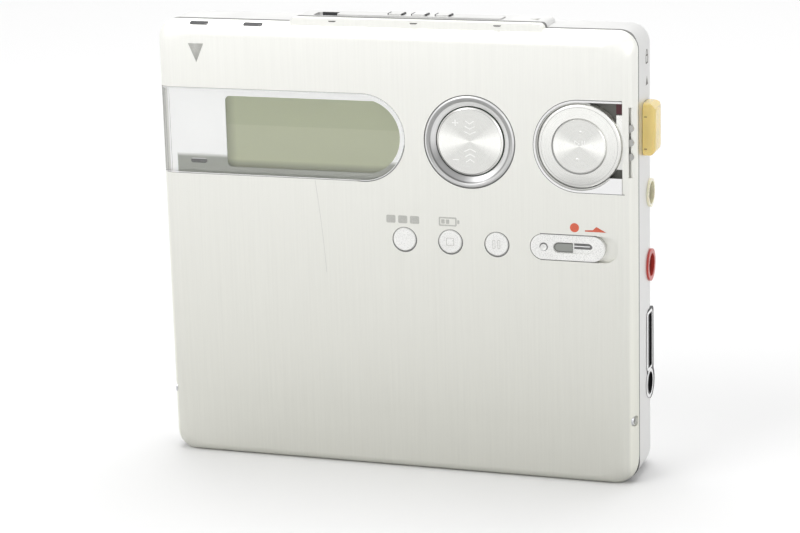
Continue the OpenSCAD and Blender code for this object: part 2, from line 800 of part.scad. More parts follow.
module top_rail() {
  color("whitesmoke") difference() {
    from_front(rail_y0, rail_y1) round_rect(rail_x0, rail_x1, body_h - 1.5, rail_z, rail_h);
    // Only the part above the casing
    block(rail_x0 - 1, rail_x1 + 1, rail_y0 - 1, rail_y1 + 1, body_h - 3, body_h + eps);
    // Track of the slider
    translate([0, 0, body_h - 1]) linear_extrude(rail_h + 2)
      round_rect(open_x0 - open_travel - 0.9, open_x1 + 0.1, open_y0, open_y1, 0.8);
  }
}

module open_knob() {
  color("silver") {
    translate([0, 0, body_h + run_gap]) linear_extrude(rail_h + 0.15)
      round_rect(open_x0, open_x1, open_y0 + 0.1, open_y1 - 0.1, 0.7);
    // Ribs for the fingertip
    for (i = [-1:1])
      block(open_mid_x + i * 3.85 - 1, open_mid_x + i * 3.85 + 1, open_y0 + 0.5, open_y1 - 0.5,
        rail_z + 0.1, rail_z + 0.45);
    block(open_mid_x - 1, open_mid_x + 1, open_y0 + 0.7, open_y1 - 0.7, latch_z1, body_h + 0.1);
  }
}

module latch_plate() {
  x1 = catch_x + catch_w / 2 - 2;
  color("dimgray") {
    block(-catch_x - catch_w / 2 - 1.7, x1, catch_y1 + 0.2, open_y1, latch_z0, latch_z1);
    // Fingers beside the lid's hooks
    for (s = [-1, 1])
      block(s * catch_x - catch_w / 2 - 1.7, s * catch_x - catch_w / 2 - 0.3,
        catch_y1 - 1.2, catch_y1 + 0.3, latch_z0, latch_z1);
  }
}

module hold_knob() {
  y0 = -hold_w / 2;
  y1 = hold_w / 2;
  z0 = hold_z - hold_l / 2;
  z1 = hold_z + hold_l / 2;
  x0 = half_w + run_gap;
  color("khaki") {
    intersection() {
      from_side(x0, half_w + hold_out) round_rect(y0, y1, z0, z1, 1.2);
      from_front(y0, y1) round_rect(half_w - 4, half_w + hold_out, z0, z1, 1.4);
      translate([0, 0, z0]) linear_extrude(hold_l)
        round_rect(half_w - 4, half_w + hold_out, y0, y1, 1);
    }
    // Stem through the slot and a foot inside the wall
    block(inner_x - run_gap, x0 + eps, -0.6, 0.6, hold_z - 2, hold_z + 2);
    block(inner_x - hold_foot_t - run_gap, inner_x - run_gap, -1.4, 1.4, hold_z - hold_foot_r,
      hold_z + hold_foot_r);
  }
}

// Sockets

// The body of a round jack and the ring that shows round its mouth
module jack(z, ring_r) {
  difference() {
    union() {
      block(jack_x0, jack_body_x1, chassis_y0, jack_body_y1, z - jack_half_z, z + jack_half_z);
      bar_x(jack_body_x1 - eps, jack_x1, jack_y, z, ring_r);
    }
    bar_x(jack_x1 - jack_depth, jack_x1 + 1, jack_y, z, jack_bore_r);
  }
}

module mic_jack() {
  color("indianred") jack(mic_z, mic_ring_r);
}

module line_jack() {
  color("lightyellow") jack(line_z, line_ring_r);
}

// The remote socket's face: a round end and a long slot above it
module socket_outline(grow) {
  translate([jack_y, remote_z]) circle(remote_r + grow);
  round_rect(jack_y - 2.1 - grow, jack_y + 1.9 + grow, remote_z, remote_slot_z1 + 0.6 + grow, 0.9);
}

module remote_socket() {
  color("dimgray") {
    difference() {
      union() {
        block(jack_x0, jack_body_x1, chassis_y0, jack_body_y1, remote_z - jack_half_z,
          remote_slot_z1 + 1.2);
        from_side(jack_body_x1 - eps, half_w + 0.1) socket_outline(0);
      }
      bar_x(half_w + 0.1 - jack_depth, half_w + 1, jack_y, remote_z, jack_bore_r);
      block(half_w - 5, half_w + 1, jack_y - 1.2, jack_y + 1.2, remote_slot_z0, remote_slot_z1);
    }
    // Row of contacts in the slot
    block(half_w - 5 - eps, half_w - 1, jack_y - 0.3, jack_y + 0.3, remote_slot_z0 + 0.8,
      remote_slot_z1 - 0.8);
  }
}

// Drive

module chassis_plate() {
  color("silver") difference() {
    union() {
      from_front(chassis_y0, chassis_y1)
        round_rect(-plate_x1, plate_x1, disc_z0 + 0.3, inner_top - 0.4, 1.5);
      // Tabs out to the casing's walls
      for (s = [-1, 1])
        for (z = [battery_z1 + 5, inner_top - 6])
          block(s > 0 ? ear_x0 : -inner_x + fit, s > 0 ? inner_x - fit : -ear_x0, chassis_y0,
            chassis_y1, z - 2, z + 2);
    }
    // Notches for the ears, and room for the hold slider's foot
    for (s = [-1, 1])
      block(s > 0 ? ear_x0 - fit : -half_w, s > 0 ? half_w : -ear_x0 + fit, chassis_y0 - 1,
        chassis_y1 + 1, ear_z0 - fit, ear_z1 + fit);
    block(inner_x - hold_foot_t - free_gap, half_w, chassis_y0 - 1, chassis_y1 + 1,
      hold_z - hold_foot_r - free_gap, hold_z + hold_foot_r + hold_travel + free_gap);
    for (x = case_screw_xs)
      for (z = case_screw_zs) bar_y(x, z, chassis_y0 - 1, back_y, case_screw_r);
    // Room for the turntable, the pickup and the battery
    bar_y(0, disc_mid_z, chassis_y0 - 1, chassis_y1 + 1, turn_r + 0.5);
    from_front(chassis_y0 - 1, chassis_y1 + 1) {
      round_rect(rod_x0 + 2, rod_x1 - 1.2, disc_mid_z - 5.4, disc_mid_z + 5.4, 1.5);
      round_rect(-ear_x0 + 1.6, battery_x1 + 0.3, stud_z + 5.4, battery_z1 + 0.3, 0.5);
      translate([-ear_x0 + 1.6, disc_z0 - 1])
        square([battery_x1 + 0.3 + ear_x0 - 1.6, battery_z1 + 0.3 - disc_z0 + 1]);
      // Notches for the jacks and the socket
      for (z = [mic_z, line_z])
        translate([jack_x0 - 0.1, z - jack_half_z - 0.1]) square([20, 2 * jack_half_z + 0.2]);
      translate([jack_x0 - 0.1, remote_z - jack_half_z - 0.1])
        square([20, remote_slot_z1 + 1.4 - remote_z + jack_half_z]);
      // Round holes that lighten the plate
      for (p = [[-10, 26], [10, 26], [14, -10]]) translate([p[0], disc_mid_z + p[1]]) circle(2.5);
    }
  }
}

module holder_ears() {
  // Each ear carries a stud of the holder and has a foot behind the plate
  y1 = chassis_y1 + eps + ear_t;
  color("silver") for (s = [-1, 1]) difference() {
    union() {
      block(s > 0 ? ear_x0 : -ear_x1, s > 0 ? ear_x1 : -ear_x0, stud_y - 1.3, y1, ear_z0, ear_z1);
      block(s > 0 ? ear_x0 - 1.6 : -ear_x1, s > 0 ? ear_x1 : -ear_x0 + 1.6, chassis_y1 + eps, y1,
        ear_z0, ear_z1);
    }
    bar_x(-half_w, half_w, stud_y, stud_z, stud_r + run_gap);
  }
}

module screw_posts() {
  color("silver") for (x = case_screw_xs)
    for (z = case_screw_zs) difference() {
      bar_y(x, z, chassis_y1 + eps, board2_y0 - run_gap, post_r);
      bar_y(x, z, chassis_y0, back_y, case_screw_r);
    }
}

module rod_bearings() {
  color("dimgray") difference() {
    for (x = [rod_x0, rod_x1 - bearing_w])
      for (z = [disc_mid_z - rod_gap / 2, disc_mid_z + rod_gap / 2, screw_z])
        block(x, x + bearing_w, chassis_y1 + eps, bearing_y1, z - 1.4, z + 1.4);
    for (s = [-1, 1]) bar_x(rod_x0 - 1, rod_x1 + 1, drive_y, disc_mid_z + s * rod_gap / 2, rod_r);
    bar_x(rod_x0 - 1, rod_x1 + 1, drive_y, screw_z, screw_r + run_gap);
  }
}

module spindle_motor() {
  color("gray") difference() {
    bar_y(0, disc_mid_z, chassis_y1, drive_y + 1.2, motor_r);
    bar_y(0, disc_mid_z, chassis_y0, chassis_y1 + 0.3, turn_r + 0.5);
    bar_y(0, disc_mid_z, chassis_y0, drive_y + 0.4, 0.85);
  }
}

module turntable() {
  color("silver") {
    turned(0, disc_mid_z)
      polygon([[0, disc_y1 + run_gap], [1.8, disc_y1 + run_gap], [turn_r - 1, chassis_y0 - 0.3],
        [turn_r, chassis_y0 - 0.2], [turn_r, chassis_y1 - 0.2], [2, chassis_y1 + 0.1],
        [0.8, chassis_y1 + 0.2], [0.8, drive_y + 0.2], [0, drive_y + 0.2]]);
  }
}

module guide_rods() {
  color("silver") for (s = [-1, 1])
    bar_x(rod_x0, rod_x1, drive_y, disc_mid_z + s * rod_gap / 2, rod_r);
}

module pickup_sled() {
  x0 = sled_x1 - sled_w;
  z = disc_mid_z;
  color("dimgray") difference() {
    union() {
      block(x0, sled_x1, chassis_y1 + free_gap, drive_y + 1.4, z - 5, z + 5);
      block(x0 + 1, sled_x1 - 1, drive_y - 1.1, drive_y + 1.2, z - rod_gap / 2 - 1.2, z + rod_gap / 2 + 1.2);
      // Arm to the lead screw
      block(x0 + 4, sled_x1 - 4, drive_y + 1, drive_y + 1.4, z, screw_z);
    }
    for (s = [-1, 1]) bar_x(x0 - 1, sled_x1 + 1, drive_y, z + s * rod_gap / 2, rod_r + run_gap);
    bar_y(x0 + sled_w / 2, z, 0, chassis_y1 + 1.6, 2.3);
  }
}

module pickup_lens() {
  x = sled_x1 - sled_w / 2;
  color("lightcyan") turned(x, disc_mid_z)
    polygon(concat([[0, chassis_y1 + 1.5], [2.2, chassis_y1 + 1.5], [2.2, chassis_y0 + 0.35]],
      [for (a = [0:15:90]) [1.9 * cos(a), chassis_y0 + 0.35 - 0.3 * sin(a)]]));
}

module lead_screw() {
  color("silver") union() {
    bar_x(rod_x0 + 0.1, gear_x + gear_w + 0.6, drive_y, screw_z, screw_r);
    // Collar beside the far bearing
    bar_x(rod_x0 + bearing_w + 0.1, rod_x0 + bearing_w + 0.5, drive_y, screw_z, screw_r + 0.5);
  }
}

// A small spur gear whose teeth have straight flanks, drawn across Y and Z
module gear(teeth, turn) {
  r = gear_module * teeth / 2;
  tip = r + 0.85 * gear_module;
  root = r - 1.1 * gear_module;
  step = 360 / teeth;
  polygon([for (i = [0:teeth - 1]) for (p = [[-0.3, root], [-0.11, tip], [0.11, tip], [0.3, root]])
    [p[1] * cos((i + p[0]) * step + turn), p[1] * sin((i + p[0]) * step + turn)]]);
}

module screw_gear() {
  color("ivory") difference() {
    translate([0, drive_y, screw_z]) from_side(gear_x, gear_x + gear_w) gear(screw_teeth, 90);
    bar_x(gear_x - 1, gear_x + gear_w + 1, drive_y, screw_z, screw_r);
  }
}

module motor_pinion() {
  color("goldenrod") difference() {
    translate([0, drive_y, pinion_z]) from_side(gear_x - 0.1, gear_x + gear_w + 0.1)
      gear(pinion_teeth, 90 + 180 / pinion_teeth);
    bar_x(gear_x - 1, gear_x + gear_w + 1, drive_y, pinion_z, 0.4);
  }
}

module sled_motor() {
  x0 = gear_x + gear_w + 0.9;
  color("silver") difference() {
    bar_x(x0, x0 + sled_motor_l, drive_y, pinion_z + 0.6, sled_motor_r);
    bar_x(x0 - 1, x0 + 2, drive_y, pinion_z, 0.9);
  }
}

module main_board() {
  color("darkgreen") {
    difference() {
      from_front(board2_y0, board2_y1)
        round_rect(-inner_x + back_r - 1, jack_x0 - 1, battery_z1 + 1, inner_top - back_r + 1, 1);
      for (x = case_screw_xs) for (z = case_screw_zs) bar_y(x, z, 0, back_y, case_screw_r + run_gap);
    }
    // Chips on the board's face
    for (p = [[6, -10, 5], [14, 22, 4], [-14, 22, 3.5], [17, 8, 3]])
      block(p[0] - p[2], p[0] + p[2], board2_y0 - 0.5, board2_y0, disc_mid_z + p[1] - p[2],
        disc_mid_z + p[1] + p[2]);
  }
}

// Battery

module battery() {
  color("silver") difference() {
    from_side(battery_x0, battery_x1)
      round_rect(battery_y0, battery_y1, battery_z0, battery_z1, 1.2);
    // Ring pressed round the plus end
    difference() {
      block(battery_x0 + 1.6, battery_x0 + 2.2, 0, back_y, battery_z0 - 1, battery_z1 + 1);
      from_side(battery_x0, battery_x1)
        round_rect(battery_y0 + 0.3, battery_y1 - 0.3, battery_z0 + 0.3, battery_z1 - 0.3, 1);
    }
  }
}

module battery_contacts() {
  y = (battery_y0 + battery_y1) / 2;
  z = (battery_z0 + battery_z1) / 2;
  color("goldenrod") {
    block(battery_x1 + 0.6, battery_x1 + 0.8, y - 2, y + 2, z - 4, z + 4);
    block(battery_x1 + 0.05, battery_x1 + 0.6, y - 1, y + 1, z - 1, z + 1);
    block(battery_x0 - 0.85, battery_x0 - 0.65, y - 1.5, y + 1.5, z - 3, z + 3);
    block(battery_x0 - 0.65, battery_x0 - 0.05, y - 1, y + 1, z - 1, z + 1);
  }
}

module battery_door() {
  color("gainsboro") {
    difference() {
      intersection() {
        difference() {
          base_form(0, base_y);
          base_form(wall, base_y - 1);
        }
        door_space(0);
      }
      block(door_x1, half_w, 0, back_y + 1, 0, body_h);
    }
    // Round hinge edge with a stud at each end
    translate([door_x1, door_hinge_y, door_z0]) cylinder(r = wall / 2, h = door_z1 - door_z0);
    translate([door_x1, door_hinge_y, door_z0 - 1]) cylinder(r = door_pin_r, h = door_z1 - door_z0 + 2);
  }
}

lid_shell();
lid_frame();
lid_board();
lid_screws();
hinge_pins();
display_window();
window_mask();
lcd_panel();
led_lens();
pad_ring();
pad_rocker();
pad_cap();
jog_bezel();
jog_well();
jog_dial();
jog_button();
group_button();
stop_button();
pause_button();
rec_track();
rec_knob();
disc_holder();
holder_springs();
head_arm();
base_shell();
top_rail();
open_knob();
latch_plate();
hold_knob();
mic_jack();
line_jack();
remote_socket();
chassis_plate();
holder_ears();
screw_posts();
rod_bearings();
spindle_motor();
turntable();
guide_rods();
pickup_sled();
pickup_lens();
lead_screw();
screw_gear();
sled_motor();
motor_pinion();
main_board();
battery();
battery_contacts();
battery_door();
case_screws();
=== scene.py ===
"""Portable minidisc player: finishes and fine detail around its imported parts, with a small studio.

The lengths below are in millimetres in the player's own frame: X across the front, Y from the lid to the
back, Z up. They become metres only where a mesh or a material is made.
"""
import math

import bmesh
import bpy
import numpy as np
from bpy.props import FloatProperty, FloatVectorProperty, PointerProperty
from bpy.types import Operator, Panel, PropertyGroup
from mathutils import Matrix, Vector


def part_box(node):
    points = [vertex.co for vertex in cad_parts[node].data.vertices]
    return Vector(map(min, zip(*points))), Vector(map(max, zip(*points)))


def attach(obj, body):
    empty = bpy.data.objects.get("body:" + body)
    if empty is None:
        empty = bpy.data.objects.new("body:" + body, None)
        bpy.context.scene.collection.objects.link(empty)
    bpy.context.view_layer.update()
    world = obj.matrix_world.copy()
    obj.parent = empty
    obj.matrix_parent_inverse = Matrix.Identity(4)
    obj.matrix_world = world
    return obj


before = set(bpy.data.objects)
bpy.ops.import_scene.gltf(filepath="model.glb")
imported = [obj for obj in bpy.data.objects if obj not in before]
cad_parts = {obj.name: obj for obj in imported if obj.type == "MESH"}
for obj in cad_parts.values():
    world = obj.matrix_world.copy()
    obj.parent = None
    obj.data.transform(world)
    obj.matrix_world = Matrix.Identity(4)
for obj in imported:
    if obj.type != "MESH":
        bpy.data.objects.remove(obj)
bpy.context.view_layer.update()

bl_info = {
    "name": "Minidisc player looks",
    "version": (1, 0, 0),
    "blender": (4, 5, 0),
    "location": "3D View > Sidebar > Player",
    "description": "Finishes, marks, fine detail and studio of a portable minidisc player",
    "category": "Object",
}

MM = 0.001


def box_mm(node):
    """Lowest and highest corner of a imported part, in millimetres."""
    lo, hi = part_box(node)
    return np.array(lo) / MM, np.array(hi) / MM


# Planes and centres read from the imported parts
LID_LO, LID_HI = box_mm("lid_shell")
WIN_LO, WIN_HI = box_mm("display_window")
WIN_R = (WIN_HI[2] - WIN_LO[2]) / 2
WIN_END = (WIN_HI[0] - WIN_R, (WIN_HI[2] + WIN_LO[2]) / 2)
LCD_LO = box_mm("lcd_panel")[0]
FRONT_Y = LID_LO[1]
LID_BACK_Y = LID_HI[1] - 1.5
HALF_W, _, TOP_Z = box_mm("base_shell")[1]


def centre_xz(node):
    """Middle of a part across the front and up."""
    lo, hi = box_mm(node)
    return (lo[0] + hi[0]) / 2, (lo[2] + hi[2]) / 2


PAD = centre_xz("pad_cap")
JOG = centre_xz("jog_button")
KEYS = [centre_xz(n) for n in ("group_button", "stop_button", "pause_button")]

# Radii and heights that the parts are made to
EDGE_R = 2.6
PAD_RING_R = 7.27
JOG_BUTTON_R = 4.3
KEY_R = 1.9
CELL_EDGE = 0.9
JACK_AXIS = 1.9
SOCKET_Z = 14.0
JACKS = (33.2, 44.8)
SIDE_SCREW_Z = 10.3

# Marks, lines, painted reflections and painted shade on the face, the top and the holder
LINE_OUT, LINE_IN = 0.008, 0.02
TRIANGLE = ((-33.2, 68.0), (-31.9, 65.0), (-30.6, 68.0))
RECORD_DOT = (29.6, 41.2)
RECORD_ARROW = ((31.25, 40.66), (34.6, 40.66), (33.05, 41.48), (32.5, 40.96), (31.25, 40.86))
SCRATCH_TOP = (-12.55, 46.7)
SCRATCH_RUN = (1.45, -14.9)
WINDOW_LINES_X = (-37.75, -36.9)
DISPLAY_REFLECTION_Z = 55.0
BEVEL_REFLECTION_TOP_Z = (50.2, 49.5)
BEVEL_REFLECTION_LEFT_X = (-36.3, -36.1)
FACE_SHADE_Z = (10, 68)
RING_REFLECTION_R = (5.3, 7.3)
PAD_GROOVE_R = (6.51, 6.58)
JOG_SEAL_R = 6.72
JOG_STOP = (35.85, 36.95, 58.85, 60.6)
TOP_SLOTS_X = ((-33.2, -30.1), (-24.1, -20.9))
TOP_TICKS_X = (-9.3, 4.0, 17.4)
HOLDER_RIBS_X = (-26.0, 26.0)

# The view: yaw, pitch and roll in degrees, the camera's place, its lens and the width of its sensor
VIEW_ANGLES = (18.663, 14.654, -1.54)
VIEW_PLACE = (126.88, -379.82, 136.11)
LENS = 116.0
SENSOR_W = 36.0

# Studio, in metres: the even light, half the floor's side, where its fade to white starts and ends, the point
# that the lamps face, and each lamp's name, place, side and power
WORLD_LIGHT = 0.5
FLOOR_HALF = 3.0
FLOOR_FADE = (0.28, 0.85)
LAMPS_AIM = (0, 0, 0.035)
LAMPS = (
    ("key lamp", (-0.60, -0.75, 0.95), 0.70, 5.7),
    ("fill lamp", (0.90, -0.45, 0.45), 0.60, 1.4),
    ("top lamp", (-0.05, 0.30, 1.05), 0.80, 7.5),
)


# Values a user would change

def colour(name, text, value):
    """A colour property with its default."""
    return FloatVectorProperty(name=name, description=text, subtype="COLOR", size=3, min=0.0, max=1.0,
                               default=value)


def length(name, text, value):
    """A length property in millimetres with its default."""
    return FloatProperty(name=name, description=text, min=0.0, max=100.0, default=value)


class PlayerColours(PropertyGroup):
    """Colours of the player's finishes."""
    face: colour("Face", "Brushed aluminium of the lid", (0.875, 0.875, 0.835))
    casing: colour("Casing", "Satin silver of the base", (0.725, 0.725, 0.715))
    chrome: colour("Chrome", "Bright rings and surrounds", (0.84, 0.84, 0.84))
    spun: colour("Spun metal", "Turned discs of the pad and the jog lever", (0.86, 0.86, 0.83))
    lcd: colour("Display", "Grey-green of the display cell", (0.565, 0.607, 0.40))
    surround: colour("Surround", "White print behind the window", (0.99, 0.99, 0.98))
    key: colour("Keys", "Pearl of the round buttons", (0.86, 0.86, 0.84))
    dark: colour("Dark plastic", "Black moulded pieces", (0.03, 0.03, 0.033))
    well: colour("Well", "Grey plastic under the jog lever", (0.15, 0.15, 0.135))
    amber: colour("Amber", "Hold slider", (0.90, 0.69, 0.23))
    red: colour("Red", "Ring of the microphone jack", (0.54, 0.055, 0.042))
    cream: colour("Cream", "Ring of the line jack", (0.92, 0.88, 0.66))
    mark: colour("Grey print", "Printed marks on the face", (0.50, 0.50, 0.47))
    red_mark: colour("Red print", "Red printed marks", (0.68, 0.13, 0.07))
    floor: colour("Floor", "Pale floor of the studio", (0.815, 0.815, 0.815))


class PlayerSizes(PropertyGroup):
    """Sizes of the fine detail, in millimetres."""
    print_t: length("Print thickness", "How far a printed mark stands off the face", 0.02)
    ring_pitch: length("Ring pitch", "Distance between turned rings on the discs", 0.33)
    brush_pitch: length("Brush pitch", "Width of a brush stroke on the face", 0.05)


def colours():
    return bpy.context.scene.player_colours


def sizes():
    return bpy.context.scene.player_sizes


# Materials

class Nodes:
    """Short way to write a node tree."""

    def __init__(self, name):
        self.mat = bpy.data.materials.get(name)
        self.new = self.mat is None
        if self.new:
            self.mat = bpy.data.materials.new(name)
            self.mat.use_nodes = True
            self.tree = self.mat.node_tree
            self.shader = self.tree.nodes["Principled BSDF"]

    def feed(self, node, inputs):
        """Values or other nodes' outputs on a node's inputs."""
        for key, value in inputs.items():
            if isinstance(value, bpy.types.NodeSocket):
                self.tree.links.new(value, node.inputs[key])
            else:
                node.inputs[key].default_value = value

    def add(self, kind, inputs=None, **settings):
        """A node with its settings and its inputs."""
        node = self.tree.nodes.new(kind)
        for key, value in settings.items():
            setattr(node, key, value)
        self.feed(node, inputs or {})
        return node

    def set(self, **values):
        """Values or links on the shader, by socket name with underscores for spaces."""
        self.feed(self.shader, {key.replace("_", " "): value for key, value in values.items()})

    def place(self, scale=(1, 1, 1), location=(0, 0, 0)):
        """Object coordinates, moved and stretched."""
        coord = self.add("ShaderNodeTexCoord")
        return self.add("ShaderNodeMapping", {"Vector": coord.outputs["Object"], "Scale": scale,
                                              "Location": location}).outputs["Vector"]

    def noise(self, vector, scale, detail=3.0, rough=0.5):
        """Noise between 0 and 1."""
        return self.add("ShaderNodeTexNoise", {"Vector": vector, "Scale": scale, "Detail": detail,
                                               "Roughness": rough}).outputs["Fac"]

    def remap(self, value, low, high, lo_in=0.3, hi_in=0.7):
        """value from lo_in..hi_in taken to low..high."""
        return self.add("ShaderNodeMapRange", {"Value": value, "From Min": lo_in, "From Max": hi_in,
                                               "To Min": low, "To Max": high}).outputs["Result"]

    def tint(self, fac, dark, light):
        """A colour between two: the first where fac is 0, the second where it is 1."""
        return self.add("ShaderNodeMix", {0: fac, 6: dark, 7: light}, data_type="RGBA").outputs[2]

    def times(self, first, *others):
        """Colours multiplied."""
        for other in others:
            first = self.add("ShaderNodeMix", {0: 1.0, 6: first, 7: other}, data_type="RGBA",
                             blend_type="MULTIPLY").outputs[2]
        return first

    def vector(self, operation, first, second=(0, 0, 0)):
        """What a vector operation gives: a number for a length or a dot product, else a vector."""
        node = self.add("ShaderNodeVectorMath", {0: first, 1: second}, operation=operation)
        return node.outputs["Value" if operation in ("LENGTH", "DOT_PRODUCT") else "Vector"]

    def axis(self, name):
        """One object coordinate, in metres."""
        return self.add("ShaderNodeSeparateXYZ", {0: self.place()}).outputs[name]

    def math(self, operation, first, second=0.0):
        """What an operation makes of two values."""
        return self.add("ShaderNodeMath", {0: first, 1: second}, operation=operation).outputs[0]

    def ramp(self, fac, *stops):
        """Greys between stops of (place 0..1, value)."""
        node = self.add("ShaderNodeValToRGB", {0: fac})
        marks = node.color_ramp.elements
        while len(marks) < len(stops):
            marks.new(0.5)
        for mark, (place, value) in zip(marks, stops):
            mark.position = place
            mark.color = grey(value)
        return node.outputs["Color"]

    def along(self, axis, start, end):
        """0 to 1 as an object coordinate goes from start to end in millimetres."""
        return self.remap(self.axis(axis), 0.0, 1.0, start * MM, end * MM)

    def step(self, axis, start, end, low, high):
        """Grey low to high as an object coordinate goes from start to end in millimetres."""
        return self.tint(self.along(axis, start, end), grey(low), grey(high))

    def bump(self, height, strength, distance):
        """A bump from a height, with its distance in millimetres."""
        return self.add("ShaderNodeBump", {"Height": height, "Strength": strength,
                                           "Distance": distance * MM}).outputs["Normal"]


def rgba(value, gain=1.0):
    """A colour with alpha 1, made darker or lighter by gain."""
    return tuple(min(1.0, c * gain) for c in value[:3]) + (1.0,)


def grey(value):
    """A grey with alpha 1."""
    return (value, value, value, 1.0)


WHITE = grey(1.0)


def brushed_face():
    """Long fine strokes up the face: noise stretched along Z drives the height, the gloss and a faint tint.
    Painted shade darkens it towards its foot and a little towards the right; a painted highlight lightens a
    band along its top edge and its rounded side edges, most near the foot."""
    n = Nodes("brushed face")
    if n.new:
        pitch = sizes().brush_pitch * MM
        strokes = n.noise(n.place((1 / pitch, 0.2 / pitch, 0.012 / pitch)), 1.0, 2.0)
        bands = n.noise(n.place((0.14 / pitch, 0.02 / pitch, 0.0025 / pitch)), 1.0, 4.0, 0.65)
        c = colours().face
        # Painted shade: darker towards the foot over FACE_SHADE_Z, a little darker towards the right, lighter
        # along the top edge.
        low = np.array(c) * (0.80, 0.80, 0.775)
        height = n.along("Z", *FACE_SHADE_Z)
        streaks = n.tint(n.remap(bands, 0, 1), grey(0.965), WHITE)
        base = n.times(n.tint(height, rgba(low), rgba(c, 1.09)), streaks, n.step("X", -30, 36, 1.0, 0.96))
        # Painted highlight: the rounded side edges are lightened, most near the foot.
        side = n.remap(n.math("ABSOLUTE", n.axis("X")), 0.0, 1.0, (HALF_W - 1.1) * MM, (HALF_W - 0.8) * MM)
        side = n.math("MULTIPLY", side, n.math("SUBTRACT", 1.0, height))
        base = n.times(base, n.tint(side, WHITE, (1.16, 1.16, 1.14, 1)), n.step("Z", 62, 69, 0.97, 1.0))
        n.set(Base_Color=base, Metallic=0.88, Roughness=n.remap(strokes, 0.36, 0.50), Anisotropic=0.35,
              Normal=n.bump(strokes, 0.12, 0.012))
    return n.mat


def satin_casing():
    """Fine blasted metal: tiny grains in the height, slow patches in the gloss, and a painted shadow on its
    rim by the lid's seam.
    """
    n = Nodes("satin casing")
    if n.new:
        grain = n.noise(n.place(), 9000.0, 2.0)
        patches = n.noise(n.place(), 120.0, 3.0)
        c = colours().casing
        # Painted shadow: the casing in front of a line just behind the lid's seam is darkened; near the top
        # the line moves back a little.
        lift = n.remap(n.axis("Z"), 0.0, 0.55 * MM, 70.0 * MM, 70.8 * MM)
        depth = n.math("SUBTRACT", n.axis("Y"), lift)
        rim = n.remap(depth, 0, 1, (LID_BACK_Y + 0.42) * MM, (LID_BACK_Y + 0.5) * MM)
        metal = n.tint(n.remap(patches, 0, 1), rgba(c, 0.97), rgba(c, 1.02))
        n.set(Base_Color=n.times(metal, n.tint(rim, grey(0.22), WHITE)), Metallic=0.75,
              Roughness=n.remap(patches, 0.34, 0.44), Normal=n.bump(grain, 0.08, 0.01))
    return n.mat


def bright_chrome():
    """Polished plate with a faint unevenness."""
    n = Nodes("bright chrome")
    if n.new:
        cloud = n.noise(n.place(), 500.0, 2.0)
        n.set(Base_Color=rgba(colours().chrome), Metallic=1.0, Roughness=n.remap(cloud, 0.10, 0.18),
              Normal=n.bump(cloud, 0.05, 0.01))
    return n.mat


def about(n, centre):
    """Distance and direction from a centre, in the face's plane."""
    at = n.place(location=(-centre[0] * MM, 0, -centre[1] * MM))
    flat = n.vector("MULTIPLY", at, (1, 0, 1))
    return n.vector("LENGTH", flat), n.vector("NORMALIZE", flat)


def ring_plate():
    """Plated ring of the pad, with painted reflections: greys by distance from its centre, a dark bow low on
    the left of its slope, and rims that are light below and dark above, or the other way round."""
    n = Nodes("ring plate with painted reflections")
    if n.new:
        away, aim = about(n, PAD)
        # Painted reflections: grey rings by distance, and sides lit or shaded by direction, stand in for what
        # the plated ring reflects.
        reach = n.remap(away, 0.0, 1.0, RING_REFLECTION_R[0] * MM, RING_REFLECTION_R[1] * MM)
        rings = n.ramp(reach, (0.0, 0.74), (0.30, 0.84), (0.48, 0.80), (0.53, 0.39), (0.60, 0.39),
                       (0.66, 0.50), (0.78, 0.50), (0.84, 0.70), (0.93, 0.70))
        left, down = (n.remap(n.vector("DOT_PRODUCT", aim, (x, 0, z)), 0, 1, -1, 1)
                      for x, z in ((-0.574, -0.819), (0.26, -0.966)))
        slope = n.ramp(left, (0.0, 1.0), (0.71, 0.90), (0.79, 0.82), (0.91, 0.42), (0.953, 0.34), (1.0, 0.40))
        inner = n.ramp(down, (0.0, 0.72), (0.55, 0.78), (0.8, 1.2), (1.0, 1.25))
        outer = n.ramp(down, (0.0, 1.1), (0.6, 1.1), (0.85, 0.75), (1.0, 0.68))
        rims = n.tint(n.remap(reach, 0, 1, 0.79, 0.82), inner, outer)
        painted_reflection_tone = n.tint(n.remap(reach, 0, 1, 0.60, 0.63), slope, rims)
        cloud = n.noise(n.place(), 500.0, 2.0)
        n.set(Base_Color=n.times(rings, painted_reflection_tone, n.tint(cloud, rgba((0.94, 0.94, 0.93)), WHITE)), Metallic=1.0,
              Roughness=n.remap(cloud, 0.36, 0.44), Normal=n.bump(cloud, 0.05, 0.01))
    return n.mat


def spun_metal(name, centre, gain=1.0, painted_shade_past=None):
    """Turned rings about a centre: distance from the centre drives a fine ripple in height and gloss. A disc
    shows a painted highlight, the light band of turned metal, (x / r)^2; a dial gets painted shade, darker
    below and darker still on its arm past painted_shade_past."""
    n = Nodes(name)
    if n.new:
        away, aim = about(n, centre)
        turns = n.math("MULTIPLY", away, 1 / (sizes().ring_pitch * MM))
        fine = n.noise(n.add("ShaderNodeCombineXYZ", {"X": turns}).outputs[0], 4.0, 3.0)
        c = colours().spun
        base = n.tint(n.remap(fine, 0, 1), rgba(c, 0.96 * gain), rgba(c, 1.04 * gain))
        if painted_shade_past is None:
            # Painted highlight: a light band across the disc.
            band = n.math("POWER", n.add("ShaderNodeSeparateXYZ", {0: aim}).outputs["X"], 2.0)
            base = n.times(base, n.ramp(band, (0.0, 0.80), (0.6, 0.79), (0.84, 0.91), (0.97, 1.08)))
        else:
            # Painted shade: darker towards the dial's foot, and darker still on its arm past
            # painted_shade_past.
            height = n.along("Z", centre[1] - 6, centre[1] + 3)
            base = n.times(base, n.ramp(height, (0.0, 0.62), (0.2, 0.80), (1.0, 1.0)),
                           n.step("X", painted_shade_past, painted_shade_past + 0.05, 1.0, 0.5))
        n.set(Base_Color=base, Metallic=0.95, Roughness=n.remap(fine, 0.24, 0.34),
              Normal=n.bump(fine, 0.15, 0.008))
    return n.mat


